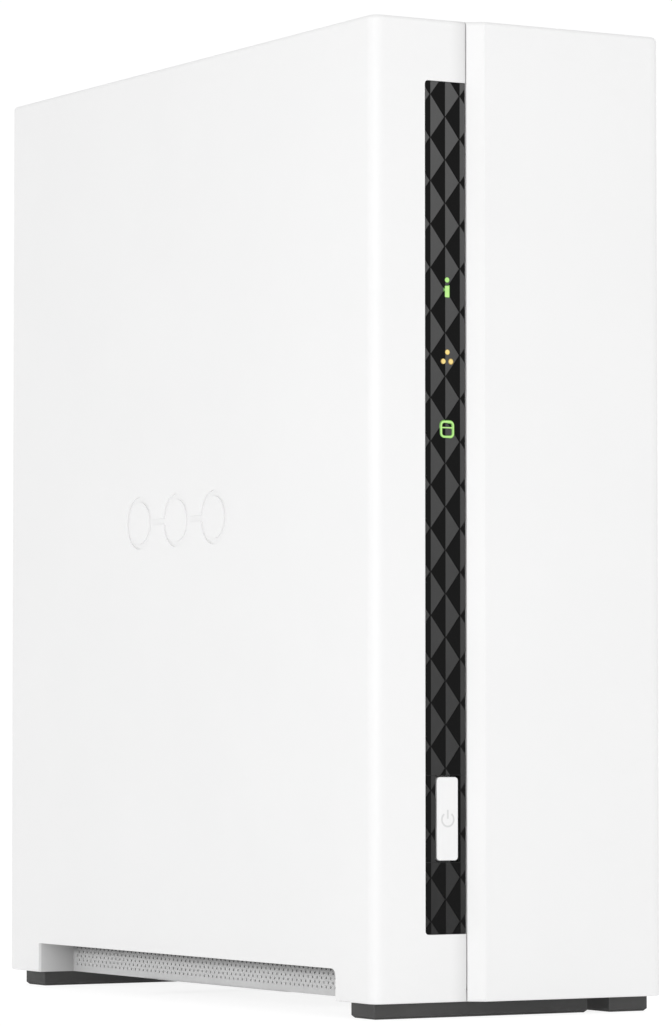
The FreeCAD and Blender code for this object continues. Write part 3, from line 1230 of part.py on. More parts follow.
NODES = {
    "left_shell": make_left_shell(),
    "case_cover": make_case_cover(),
    "back_panel": make_back_panel(),
    "intake_grille": make_intake_grille(),
    "front_foot": make_foot(feet_x("foot_left", "foot_right"), front_feet_y),
    "back_foot": make_foot(feet_x("foot_left", "foot_right"), back_feet_y),
    "cover_front_foot": make_foot(feet_x("cover_foot_left", "cover_foot_right"), cover_front_y),
    "cover_back_foot": make_foot(feet_x("cover_foot_left", "cover_foot_right"), back_feet_y),
    "indicator_strip": make_indicator_strip(),
    "status_light_guide": make_light_guide("status_height", STATUS_SHAPES),
    "network_light_guide": make_light_guide("network_height", NETWORK_SHAPES),
    "disk_light_guide": make_light_guide(
        "disk_height", [("0", *DISK_OUTER[0])], DISK_INNER),
    "indicator_leds": make_indicator_leds(),
    "front_board": make_front_board(),
    "front_board_screws": make_front_board_screws(),
    "front_board_link": make_front_header(),
    "power_button": make_power_button(),
    "power_switch": make_power_switch(),
    "main_board": make_main_board(),
    "main_board_screws": screws(MAIN_BOARD_POSTS, "x", BOARD_FACE, "head_high",
                                f"{BOARD_X} - 3", "board_thick + 3.1"),
    "processor": on_board("7", "74", "1.6", "21", "21"),
    "heat_sink": make_heat_sink(),
    "memory_chips": together(*[on_board(y, "100", "1.1", "9", "13") for y in ("-22", "-8")]),
    "flash_chip": on_board("34", "62", "1.1", "12", "18"),
    "capacitors": make_capacitors(),
    "coin_cell_holder": make_coin_cell_holder(),
    "coin_cell": rod("x", (f"{BOARD_FACE} + 0.8", *COIN_CELL_PLACE), "10", "3.2"),
    "buzzer": rod("x", (BOARD_FACE, "20", "104"), "4.5", "5.5"),
    "power_inlet": make_power_inlet(),
    "power_inlet_pin": make_power_pin(),
    "lan_socket": make_lan_socket(),
    "lan_contacts": make_lan_contacts(),
    "usb_socket_fast": make_usb_socket("usb_fast_height"),
    "usb_tongue_fast": make_usb_tongue("usb_fast_height"),
    "usb_socket": make_usb_socket("usb_height"),
    "usb_tongue": make_usb_tongue("usb_height"),
    "reset_switch": make_reset_switch(),
    "reset_button": make_reset_button(),
    "drive_case": make_drive_case(),
    "drive_lid": make_drive_lid(),
    "drive_lid_screws": make_lid_screws(),
    "drive_board": make_drive_board(),
    "drive_plug": make_drive_plug(),
    "spindle_motor": make_spindle(),
    "disc_stack": make_disc_stack(),
    "head_arm": make_head_arm(),
    "coil_magnet": make_coil_magnet(),
    "drive_bracket": make_drive_bracket(),
    "bracket_screws": make_bracket_screws(),
    "drive_grommets": make_drive_grommets(),
    "drive_screws": make_drive_screws(),
    "backplane": make_backplane(),
    "drive_socket": make_drive_socket(),
    "board_link": make_board_link(),
    "fan_frame": make_fan_frame(),
    "fan_rotor": make_fan_rotor(),
    "fan_screws": make_fan_screws(),
    "fan_lead": make_fan_lead(),
    "fan_plug": make_fan_plug(),
    "case_screws": make_case_screws(),
}

for name, item in NODES.items():
    item.Label = name
doc.recompute()

for item in doc.Objects:
    if "Invalid" in item.State or "Error" in item.State:
        raise RuntimeError(f"{item.Name} ({item.Label}) did not build: {item.State}")
for name, item in NODES.items():
    if item.Shape.isNull() or not item.Shape.isValid() or not item.Shape.Solids:
        raise RuntimeError(f"{name} has no valid solid")

os.makedirs("parts", exist_ok=True)
for name, item in NODES.items():
    item.Shape.exportStep(os.path.join("parts", name + ".step"))
print(len(NODES), "nodes")
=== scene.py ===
import json
import random
from math import cos, pi, radians, sin

import bmesh
import bpy
from mathutils import Matrix, Vector


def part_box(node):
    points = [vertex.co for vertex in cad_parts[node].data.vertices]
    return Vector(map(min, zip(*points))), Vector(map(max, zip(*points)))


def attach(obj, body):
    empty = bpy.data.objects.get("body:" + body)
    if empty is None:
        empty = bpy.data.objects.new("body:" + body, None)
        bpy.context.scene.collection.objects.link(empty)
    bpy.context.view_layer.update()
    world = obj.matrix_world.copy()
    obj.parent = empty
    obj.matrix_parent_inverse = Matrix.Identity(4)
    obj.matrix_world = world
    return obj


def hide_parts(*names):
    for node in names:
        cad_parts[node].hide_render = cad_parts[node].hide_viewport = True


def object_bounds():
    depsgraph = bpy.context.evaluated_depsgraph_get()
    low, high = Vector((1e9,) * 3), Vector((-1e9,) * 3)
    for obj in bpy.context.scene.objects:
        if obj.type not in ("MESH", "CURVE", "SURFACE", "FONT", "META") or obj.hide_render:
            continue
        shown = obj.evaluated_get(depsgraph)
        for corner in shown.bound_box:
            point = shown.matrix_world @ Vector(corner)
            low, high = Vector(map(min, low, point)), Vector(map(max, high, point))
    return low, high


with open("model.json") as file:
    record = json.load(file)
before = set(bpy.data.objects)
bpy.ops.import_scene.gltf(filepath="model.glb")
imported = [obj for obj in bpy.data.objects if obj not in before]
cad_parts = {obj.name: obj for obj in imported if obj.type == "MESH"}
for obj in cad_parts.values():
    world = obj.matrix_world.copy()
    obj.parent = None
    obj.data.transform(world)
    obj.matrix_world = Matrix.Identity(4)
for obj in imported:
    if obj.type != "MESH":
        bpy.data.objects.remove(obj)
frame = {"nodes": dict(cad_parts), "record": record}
cad_low, cad_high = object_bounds()

MM = 0.001
BODY = "chassis"
NODES = frame["nodes"]


# --- measuring the frame

def middle(node):
    """The middle of a CAD node's box."""
    low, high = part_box(node)
    return (low + high) / 2


def corners_of(node):
    return [vertex.co.copy() for vertex in NODES[node].data.vertices]


def box_of(points):
    low = Vector(min(p[i] for p in points) for i in range(3))
    high = Vector(max(p[i] for p in points) for i in range(3))
    return low, high


def front_of(node, depth=0.3 * MM):
    """The box of what a node shows at its front: its corners near the lowest y."""
    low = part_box(node)[0]
    return box_of([p for p in corners_of(node) if p.y < low.y + depth])


def solids_of(node):
    """The corners of each separate solid in a node."""
    mesh = NODES[node].data
    places = [tuple(round(c / (0.002 * MM)) for c in vertex.co) for vertex in mesh.vertices]
    parent = {place: place for place in places}

    def root(place):
        while parent[place] != place:
            parent[place] = parent[parent[place]]
            place = parent[place]
        return place

    for edge in mesh.edges:
        one, other = (root(places[v]) for v in edge.vertices)
        parent[one] = other
    solids = {}
    for vertex, place in zip(mesh.vertices, places):
        solids.setdefault(root(place), []).append(vertex.co.copy())
    return sorted(solids.values(), key=lambda points: tuple(round(c, 5) for c in box_of(points)[0]))


def other_axes(axis):
    return [i for i in range(3) if i != axis]


def placed_on(axis, across, up, height):
    """A corner given by its place on a face square to an axis and its height along the axis."""
    corner = Vector((0.0, 0.0, 0.0))
    first, second = other_axes(axis)
    corner[first], corner[second], corner[axis] = across, up, height
    return corner


def linked(name, data):
    """A new object in the scene."""
    made = bpy.data.objects.new(name, data)
    bpy.context.scene.collection.objects.link(made)
    return made


# --- camera, floor and light

LENS = 162.92
EYE = Vector((-474.79, -821.29, 53.43)) * MM
TURN = radians(30.265)
TILT = radians(2.718)


def make_camera():
    data = bpy.data.cameras.new("camera")
    data.lens = LENS
    data.clip_start, data.clip_end = 0.05, 1000.0
    camera = linked("camera", data)
    camera.location = EYE
    camera.rotation_euler = (pi / 2 + TILT, 0.0, -TURN)
    bpy.context.scene.camera = camera


WHITE = (1.0, 1.0, 1.0, 1.0)
FLOOR_HALF = 300.0
FLOOR_WHITE = (0.92, 0.92, 0.92, 1.0)
FLOOR_GLOW = 0.22
FLOOR_SEEN = (0.20, 0.20, 0.20, 1.0)
FLOOR_SEEN_GLOW = 0.84
SKY_LOW, SKY_HIGH, SKY_SEEN = 0.92, 0.84, 1.02


def make_floor():
    """A wide pale floor, nearly even where the camera sees it and as lit as the rest elsewhere."""
    mesh = bpy.data.meshes.new("floor")
    side = FLOOR_HALF
    mesh.from_pydata([(-side, -side, 0), (side, -side, 0), (side, side, 0), (-side, side, 0)],
                     [], [(0, 1, 2, 3)])
    floor = linked("floor", mesh)
    material, tree, shader = new_material("studio_floor", Roughness=0.9, Specular_IOR_Level=0.1,
                                          Emission_Color=WHITE)
    seen = add(tree, "LightPath").outputs["Is Camera Ray"]
    join(tree, shader, Base_Color=mixed(tree, seen, FLOOR_WHITE, FLOOR_SEEN),
         Emission_Strength=ranged(tree, seen, 0.0, 1.0, FLOOR_GLOW, FLOOR_SEEN_GLOW))
    mesh.materials.append(material)


def make_world():
    """White all round: what lights the box is a little softer than what the camera sees."""
    world = bpy.data.worlds.new("studio")
    bpy.context.scene.world = world
    world.use_nodes = True
    tree = world.node_tree
    tree.nodes.clear()
    split = add(tree, "SeparateXYZ", {0: add(tree, "TexCoord").outputs["Generated"]})
    rise = ranged(tree, split.outputs["Z"], 0.0, 1.0, SKY_LOW, SKY_HIGH)
    lighting = add(tree, "Background", {"Color": WHITE, "Strength": rise})
    seen = add(tree, "Background", {"Color": WHITE, "Strength": SKY_SEEN})
    rays = add(tree, "LightPath")
    both = add(tree, "MixShader", {0: rays.outputs["Is Camera Ray"], 1: lighting.outputs[0],
                                   2: seen.outputs[0]})
    add(tree, "OutputWorld", {"Surface": both.outputs[0]})


# Where each softbox stands from its aim, its power and its side.
KEY_LIGHT = ((-0.32, -0.32, -0.01), 0.55, 0.3)
BACK_LIGHT = ((0.5, 0.6, 0.15), 0.9, 0.4)


def make_softbox(name, aim, away, power, side):
    """A wide soft lamp that looks at a point."""
    data = bpy.data.lights.new(name, "AREA")
    data.shape, data.size, data.size_y, data.energy = "RECTANGLE", side, side, power
    lamp = linked(name, data)
    lamp.location = aim + Vector(away)
    lamp.rotation_mode = "QUATERNION"
    lamp.rotation_quaternion = (-Vector(away)).to_track_quat("-Z", "Y")
    lamp.visible_camera = False


def make_lights():
    centre = (cad_low + cad_high) / 2
    edge = Vector((cad_low.x, cad_low.y, centre.z))
    make_softbox("key_softbox", edge, *KEY_LIGHT)
    make_softbox("back_softbox", centre, *BACK_LIGHT)


# --- node trees

def add(tree, kind, inputs=(), **settings):
    """A node with its settings; each input is set to a value or joined to another node's output."""
    node = tree.nodes.new("ShaderNode" + kind)
    for name, setting in settings.items():
        setattr(node, name, setting)
    for key, given in dict(inputs).items():
        if isinstance(given, bpy.types.NodeSocket):
            tree.links.new(given, node.inputs[key])
        else:
            node.inputs[key].default_value = given
    return node


def join(tree, end, **sockets):
    """Joins outputs to a node's inputs, each named by its keyword."""
    for label, socket in sockets.items():
        tree.links.new(socket, end.inputs[label.replace("_", " ")])


def math_of(tree, operation, first, second=0.0, third=0.0):
    return add(tree, "Math", {0: first, 1: second, 2: third}, operation=operation).outputs[0]


def mixed(tree, factor, first, second):
    """The colour that lies between two, by a factor."""
    return add(tree, "Mix", {0: factor, 6: first, 7: second}, data_type="RGBA").outputs[2]


def ranged(tree, given, low, high, first=0.0, second=1.0):
    """A value carried from one range to another, and held at its ends."""
    return add(tree, "MapRange", {0: given, 1: low, 2: high, 3: first, 4: second}).outputs[0]


def point_on(tree):
    """Where a point lies on its object."""
    return add(tree, "TexCoord").outputs["Object"]


def position(tree):
    """Where a point lies on its object, split into its three axes."""
    return add(tree, "SeparateXYZ", {0: point_on(tree)})


def noise(tree, place, scale, detail, roughness=0.5):
    return add(tree, "TexNoise", {"Vector": place, "Scale": scale, "Detail": detail,
                                  "Roughness": roughness}).outputs[0]


def grey(level, warm=0.0):
    return (level + warm, level, level - warm, 1.0)


def dimmed(colour, share):
    return tuple(share * c for c in colour[:3]) + (1.0,)


def new_group(name, inputs, outputs):
    """An empty effect with its named sockets; returns its tree and its two end nodes."""
    tree = bpy.data.node_groups.new(name, "ShaderNodeTree")
    for label, default in inputs:
        socket = tree.interface.new_socket(label, in_out="INPUT", socket_type="NodeSocketFloat")
        socket.default_value = default
    for label in outputs:
        tree.interface.new_socket(label, in_out="OUTPUT", socket_type="NodeSocketFloat")
    return tree, tree.nodes.new("NodeGroupInput"), tree.nodes.new("NodeGroupOutput")


def make_mould_grain():
    """The fine spark-eroded grain of a moulding, and slow patches of a slightly different sheen."""
    tree, given, result = new_group("mould_grain", [("Scale", 2200.0), ("Patches", 28.0)],
                                    ["Height", "Patch"])
    place = point_on(tree)
    fine = noise(tree, place, given.outputs["Scale"], 2.0, 0.55)
    cells = add(tree, "TexVoronoi", {"Vector": place, "Scale": given.outputs["Scale"]},
                feature="SMOOTH_F1")
    slow = noise(tree, place, given.outputs["Patches"], 3.0, 0.6)
    join(tree, result, Height=math_of(tree, "MULTIPLY_ADD", cells.outputs["Distance"], 0.6, fine),
         Patch=ranged(tree, slow, 0.3, 0.7))
    return tree


def make_edge_rub():
    """Where edges are rubbed: the rounded normal leaves the flat one there."""
    tree, given, result = new_group("edge_rub", [("Width", 0.5 * MM)], ["Rubbed"])
    soft = add(tree, "Bevel", {"Radius": given.outputs["Width"]}, samples=4)
    flat = add(tree, "NewGeometry")
    agree = add(tree, "VectorMath", {0: soft.outputs[0], 1: flat.outputs["Normal"]},
                operation="DOT_PRODUCT")
    edge = ranged(tree, agree.outputs["Value"], 0.97, 0.80)
    uneven = ranged(tree, noise(tree, point_on(tree), 420.0, 3.0), 0.35, 0.65, 0.25)
    join(tree, result, Rubbed=math_of(tree, "MULTIPLY", edge, uneven))
    return tree


def make_settled_dust():
    """Thin dust on what faces up."""
    tree, given, result = new_group("settled_dust", [("Amount", 0.3)], ["Dust"])
    normal = add(tree, "SeparateXYZ", {0: add(tree, "NewGeometry").outputs["Normal"]})
    facing = ranged(tree, normal.outputs["Z"], 0.55, 0.95)
    place = point_on(tree)
    both = math_of(tree, "MULTIPLY", ranged(tree, noise(tree, place, 950.0, 4.0), 0.5, 0.7),
                   ranged(tree, noise(tree, place, 40.0, 2.0), 0.35, 0.7, 0.2))
    settled = math_of(tree, "MULTIPLY", facing, both)
    join(tree, result, Dust=math_of(tree, "MULTIPLY", settled, given.outputs["Amount"]))
    return tree


def make_drawn_lines():
    """The fine scratches of rolled or brushed metal, each axis with its own stretch."""
    tree, given, result = new_group("drawn_lines", [("Across X", 1.0), ("Across Y", 1.0),
                                                    ("Across Z", 1.0)], ["Height", "Streak"])
    place = point_on(tree)
    stretch = add(tree, "CombineXYZ", {k: given.outputs[k] for k in range(3)})
    drawn = add(tree, "VectorMath", {0: place, 1: stretch.outputs[0]}, operation="MULTIPLY")
    lines = noise(tree, drawn.outputs[0], 100.0, 5.0, 0.65)
    stains = ranged(tree, noise(tree, place, 70.0, 3.0), 0.35, 0.65, 0.0, 0.4)
    streak = math_of(tree, "ADD", ranged(tree, lines, 0.3, 0.7, 0.0, 0.6), stains)
    join(tree, result, Height=lines, Streak=streak)
    return tree


def make_board_tracks():
    """Copper tracks under a board's lacquer, their pads and the small bores between them."""
    tree, given, result = new_group("board_tracks", [("Scale", 260.0)], ["Track", "Pad"])
    split = position(tree)
    across = add(tree, "CombineXYZ", {0: split.outputs["Y"], 1: split.outputs["Z"],
                                      2: split.outputs["X"]}).outputs[0]
    lines = add(tree, "TexBrick", {"Vector": across, "Scale": given.outputs["Scale"],
                                   "Color1": grey(0.0), "Color2": grey(0.6), "Mortar": WHITE,
                                   "Mortar Size": 0.035, "Brick Width": 3.1,
                                   "Row Height": 0.42}, offset=0.37)
    coarse = add(tree, "TexBrick", {"Vector": across, "Scale": 61.0, "Color1": grey(0.0),
                                    "Color2": WHITE, "Mortar": grey(0.0), "Mortar Size": 0.0,
                                    "Brick Width": 0.9, "Row Height": 0.7}, offset=0.21)
    dots = add(tree, "TexVoronoi", {"Vector": across, "Scale": 210.0, "Randomness": 0.85})
    join(tree, result, Track=math_of(tree, "MULTIPLY", lines.outputs[0], coarse.outputs[0]),
         Pad=ranged(tree, dots.outputs["Distance"], 0.16, 0.12))
    return tree


GROUPS = {
    "grain": make_mould_grain(),
    "rub": make_edge_rub(),
    "dust": make_settled_dust(),
    "lines": make_drawn_lines(),
    "tracks": make_board_tracks(),
}


def effect(tree, name, **values):
    """One of the shared effects, placed in a material with its own values."""
    node = tree.nodes.new("ShaderNodeGroup")
    node.node_tree = GROUPS[name]
    for label, given in values.items():
        node.inputs[label.replace("_", " ").title()].default_value = given
    return node


def new_material(name, **uniform):
    """A material with its shader's own values set; returns the material, its tree and the shader."""
    material = bpy.data.materials.new(name)
    material.use_nodes = True
    tree = material.node_tree
    shader = tree.nodes["Principled BSDF"]
    for label, given in uniform.items():
        shader.inputs[label.replace("_", " ")].default_value = given
    return material, tree, shader


def feed(tree, shader, height, strength, rise, **sockets):
    """Joins a height, through a bump that rises in millimetres, and tones and values to a shader."""
    bump = add(tree, "Bump", {"Strength": strength, "Distance": rise * MM, "Height": height})
    join(tree, shader, Normal=bump.outputs[0], **sockets)


# --- finishes

DUST_TONE = (0.62, 0.60, 0.57, 1.0)
TIN_TONE = (0.62, 0.60, 0.52, 1.0)


def moulded(name, colour, shade, roughness, grain=2200.0, depth=0.02, dust=0.2, rub=0.0,
            rubbed_to=WHITE, painted_shade=None, **uniform):
    """Moulded plastic or rubber: two close tones in patches, fine grain, dust and rubbed edges, and
    painted shade where a shade mask is given.
    """
    material, tree, shader = new_material(name, **uniform)
    surface = effect(tree, "grain", scale=grain)
    patch = surface.outputs["Patch"]
    tone = mixed(tree, patch, colour, shade)
    if rub:
        worn = math_of(tree, "MULTIPLY", effect(tree, "rub").outputs[0], rub)
        tone = mixed(tree, worn, tone, rubbed_to)
    laid = effect(tree, "dust", amount=dust).outputs[0]
    tone = mixed(tree, laid, tone, DUST_TONE)
    # Painted shade: the tone darkens towards black by the given mask.
    if painted_shade:
        tone = mixed(tree, painted_shade(tree), tone, grey(0.0))
    sheen = ranged(tree, patch, 0.0, 1.0, roughness - 0.04, roughness + 0.05)
    feed(tree, shader, surface.outputs["Height"], 0.35, depth, Base_Color=tone,
         Roughness=math_of(tree, "MAXIMUM", sheen, laid))
    return material


def shell_painted_shade(tree):
    """How much painted shade darkens the shell's plastic beside the proud cover and inside the intake's
    notch.
    """
    low, grille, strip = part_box("left_shell")[0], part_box("intake_grille"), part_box("indicator_strip")
    place = position(tree)
    # Painted shade on the front face, deepening towards the proud cover's edge.
    near = ranged(tree, place.outputs["X"], strip[1].x - 3.8 * MM, strip[1].x + 0.3 * MM)
    seam = math_of(tree, "MULTIPLY", math_of(tree, "POWER", near, 1.6), 0.18)
    before = math_of(tree, "LESS_THAN", place.outputs["Y"], low.y + 2.0 * MM)
    # Painted shade on the notch's inner walls, deepening towards the grille.
    notch = ranged(tree, place.outputs["X"], low.x + 0.6 * MM, grille[0].x, 0.26, 0.48)
    below = math_of(tree, "LESS_THAN", place.outputs["Z"], grille[1].z + 0.2 * MM)
    away = math_of(tree, "ABSOLUTE", math_of(tree, "SUBTRACT", place.outputs["Y"],
                                             (grille[0].y + grille[1].y) / 2))
    between = math_of(tree, "LESS_THAN", away, (grille[1].y - grille[0].y) / 2 + 0.3 * MM)
    inward = math_of(tree, "COMPARE", place.outputs["X"], (low.x + grille[1].x) / 2 + 0.3 * MM,
                     (grille[1].x - low.x) / 2 - 0.3 * MM)
    held = math_of(tree, "MULTIPLY", math_of(tree, "MULTIPLY", below, between), inward)
    return math_of(tree, "MAXIMUM", math_of(tree, "MULTIPLY", seam, before),
                   math_of(tree, "MULTIPLY", notch, held))


def metal(name, colour, shade, roughness, across=(1.0, 12.0, 1.0), depth=0.01, **uniform):
    """Bare metal: drawn lines, stained patches, and brighter rubbed edges."""
    material, tree, shader = new_material(name, Metallic=1.0, **uniform)
    surface = effect(tree, "lines", across_x=across[0], across_y=across[1], across_z=across[2])
    streak = surface.outputs["Streak"]
    tone = mixed(tree, streak, colour, shade)
    worn = math_of(tree, "MULTIPLY", effect(tree, "rub").outputs[0], 0.5)
    tone = mixed(tree, worn, tone, tuple(min(1.0, 1.25 * c) for c in colour))
    feed(tree, shader, surface.outputs["Height"], 0.25, depth, Base_Color=tone,
         Roughness=ranged(tree, streak, 0.0, 1.0, roughness - 0.06, roughness + 0.1))
    return material


def grille_with_painted_shade(name, colour, shade, roughness):
    """Moulded plastic with painted shade: it darkens towards its top, under the shell's lip, where shade
    falls.
    """
    material, tree, shader = new_material(name)
    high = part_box("intake_grille")[1]
    surface = effect(tree, "grain")
    patch = surface.outputs["Patch"]
    # Painted shade: the top 2.6 mm darken towards a dark grey, standing for the lip's shade.
    painted_top_shade = ranged(tree, position(tree).outputs["Z"], high.z - 2.6 * MM, high.z - 0.6 * MM)
    tone = mixed(tree, painted_top_shade, mixed(tree, patch, colour, shade), grey(0.16))
    feed(tree, shader, surface.outputs["Height"], 0.3, 0.02, Base_Color=tone,
         Roughness=ranged(tree, patch, 0.0, 1.0, roughness - 0.04, roughness + 0.05))
    return material


def board(name, lacquer, lit):
    """A lacquered circuit board: darker base, lighter lacquer over copper, bare tinned pads."""
    material, tree, shader = new_material(name, Coat_Weight=0.3, Coat_Roughness=0.2)
    drawn = effect(tree, "tracks")
    track, pad = drawn.outputs["Track"], drawn.outputs["Pad"]
    grain = effect(tree, "grain", scale=3000.0)
    green = mixed(tree, grain.outputs["Patch"], lacquer, dimmed(lacquer, 0.85))
    tone = mixed(tree, pad, mixed(tree, track, green, lit), TIN_TONE)
    feed(tree, shader, math_of(tree, "ADD", track, pad), 0.5, 0.03, Base_Color=tone,
         Roughness=ranged(tree, pad, 0.0, 1.0, 0.38, 0.25), Metallic=pad)
    return material


def lamp(name, colour, glow, strength):
    """A lit window of clear plastic, a little uneven over its face."""
    material, tree, shader = new_material(name, Roughness=0.3, Emission_Strength=strength)
    surface = effect(tree, "grain", scale=1500.0, patches=900.0)
    patch = surface.outputs["Patch"]
    feed(tree, shader, surface.outputs["Height"], 0.2, 0.01,
         Base_Color=mixed(tree, patch, dimmed(colour, 0.08), dimmed(colour, 0.05)),
         Emission_Color=mixed(tree, patch, glow, colour))
    return material


def strip_facet(name, top, foot, **uniform):
    """One side of the strip's diamonds, in painted light: its tone fades from the strip's top to its
    foot, a painted reflection of light from above.
    """
    material, tree, shader = new_material(name, **uniform)
    low, high = front_of("indicator_strip")
    rise = ranged(tree, position(tree).outputs["Z"], low.z, high.z)
    surface = effect(tree, "grain", scale=1800.0, patches=140.0)
    fade = mixed(tree, rise, foot, top)
    uneven = math_of(tree, "MULTIPLY", surface.outputs["Patch"], 0.12)
    feed(tree, shader, surface.outputs["Height"], 0.1, 0.005,
         Base_Color=mixed(tree, uneven, fade, dimmed(top, 0.9)),
         Roughness=ranged(tree, surface.outputs["Patch"], 0.0, 1.0, 0.32, 0.40))
    return material


def paper(name, ground, ink, axis, edge):
    """A blank printed label: fine fibres, and a band of ink beyond one edge."""
    material, tree, shader = new_material(name, Coat_Weight=0.15)
    grain = effect(tree, "grain", scale=1400.0, patches=60.0)
    base = mixed(tree, grain.outputs["Patch"], ground, dimmed(ground, 0.95))
    band = math_of(tree, "GREATER_THAN", position(tree).outputs[axis], edge)
    feed(tree, shader, grain.outputs["Height"], 0.3, 0.01, Base_Color=mixed(tree, band, base, ink),
         Roughness=ranged(tree, grain.outputs["Patch"], 0.0, 1.0, 0.5, 0.6))
    return material


FINISHES = {
    "case_white": moulded("white_shell_plastic", grey(0.840), grey(0.830), 0.42, depth=0.012,
                          dust=0.05),
    # The grille's white with painted shade towards its top.
    "grille_white": grille_with_painted_shade("white_grille_plastic_painted_shade", grey(0.66), grey(0.62), 0.5),
    "foot_grey": moulded("grey_foot_rubber", grey(0.055, 0.001), grey(0.042), 0.62, grain=1500.0,
                         depth=0.03, dust=0.4, rub=0.5, rubbed_to=grey(0.12)),
    "strip_black": moulded("black_strip_plastic", grey(0.012), grey(0.009), 0.25, depth=0.006,
                           dust=0.1),
    "light_green": moulded("clear_light_guide", (0.62, 0.78, 0.58, 1), (0.55, 0.70, 0.52, 1),
                           0.2, dust=0.0, Transmission_Weight=0.4),
    "light_amber": moulded("amber_light_guide", (0.80, 0.70, 0.45, 1), (0.74, 0.64, 0.40, 1),
                           0.2, dust=0.0, Transmission_Weight=0.4),
    "led_package": moulded("led_resin", (0.85, 0.80, 0.62, 1), (0.78, 0.74, 0.58, 1), 0.3),
    "button_white": moulded("white_button_plastic", grey(0.84), grey(0.82), 0.35, depth=0.008,
                            dust=0.05),
    "board_green": board("green_board", (0.012, 0.105, 0.045, 1), (0.030, 0.190, 0.080, 1)),
    "part_black": moulded("black_part_plastic", grey(0.020), grey(0.028), 0.48, grain=1700.0,
                          dust=0.35, rub=0.4, rubbed_to=grey(0.08)),
    "part_blue": moulded("blue_tongue_plastic", (0.02, 0.10, 0.45, 1), (0.02, 0.08, 0.38, 1), 0.4),
    "socket_steel": metal("tinned_socket_steel", grey(0.66), grey(0.52), 0.30, (1, 6, 1)),
    "screw_steel": metal("plated_screw_steel", grey(0.62), grey(0.46), 0.28, (3, 3, 3)),
    "contact_gold": metal("gold_contacts", (0.90, 0.66, 0.26, 1), (0.78, 0.54, 0.20, 1), 0.25),
    "reset_grey": moulded("grey_reset_plastic", grey(0.22), grey(0.18), 0.45),
    "cast_aluminium": metal("cast_aluminium", grey(0.60), grey(0.44), 0.46, (2, 2, 2), depth=0.06),
    "lid_steel": metal("rolled_lid_steel", grey(0.66), grey(0.56), 0.32, (1, 1, 14)),
    "disc_mirror": metal("disc_mirror", grey(0.86), grey(0.80), 0.09, (1, 1, 1), depth=0.001),
    "magnet_nickel": metal("nickel_magnet", (0.66, 0.63, 0.56, 1), (0.52, 0.50, 0.45, 1), 0.25),
    "rubber_black": moulded("black_rubber", grey(0.018), grey(0.026), 0.7, grain=1300.0,
                            depth=0.03, dust=0.3),
}

# The shell's white with painted shade beside the cover and inside the intake's notch.
SHELL_WHITE_PAINTED_SHADE = moulded("white_shell_plastic_painted_shade", grey(0.840), grey(0.830), 0.42, depth=0.012,
                      dust=0.05, painted_shade=shell_painted_shade)
# Painted light: lit and shaded copies of the strip's black, the shaded one for the left-leaning facets,
# the lit one with its painted reflection fading downwards for the right-leaning ones.
STRIP_PAINTED_SHADE = strip_facet("strip_painted_shade_facet", grey(0.0035), grey(0.0030),
                         Specular_IOR_Level=0.10)
STRIP_PAINTED_HIGHLIGHT = strip_facet("strip_painted_highlight_facet", grey(0.088), grey(0.020),
                          Specular_IOR_Level=0.15)
GREEN_CORE = lamp("green_lamp_core", (0.44, 0.84, 0.22, 1), (0.56, 0.90, 0.30, 1), 0.92)
GREEN_EDGE = lamp("green_lamp_edge", (0.16, 0.44, 0.07, 1), (0.20, 0.52, 0.09, 1), 0.75)
AMBER_CORE = lamp("amber_lamp_core", (0.90, 0.66, 0.20, 1), (0.96, 0.76, 0.28, 1), 0.92)
AMBER_EDGE = lamp("amber_lamp_edge", (0.45, 0.28, 0.06, 1), (0.52, 0.34, 0.08, 1), 0.75)
SYMBOL_GREY = moulded("grey_symbol_ink", grey(0.68), grey(0.63), 0.5, dust=0.0)
CERAMIC = moulded("chip_ceramic", (0.16, 0.10, 0.06, 1), (0.05, 0.05, 0.05, 1), 0.5, dust=0.2)
DRIVE_PAPER = paper("drive_label_paper", grey(0.74), (0.10, 0.24, 0.20, 1), "Z",
                    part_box("drive_lid")[0].z + 37 * MM)
RATING_PAPER = paper("rating_label_paper", grey(0.70), grey(0.12), "Y", 24 * MM)
HUB_PAPER = paper("fan_hub_paper", grey(0.60), grey(0.10), "Z", middle("fan_rotor").z + 4 * MM)


def dress_frame():
    """Gives every CAD node the finish that its own slot names; the left shell then wears the white with
    painted shade.
    """
    for part in frame["record"]["subparts"]:
        node = NODES[part["node"]]
        node.data.materials.clear()
        node.data.materials.append(FINISHES[part["material_slot"]])
    NODES["left_shell"].data.materials[0] = SHELL_WHITE_PAINTED_SHADE


# --- building meshes

def smoothed(data, angle):
    """A mesh shaded smooth but for its sharper edges."""
    for polygon in data.polygons:
        polygon.use_smooth = True
    data.set_sharp_from_angle(angle=angle)
    return data


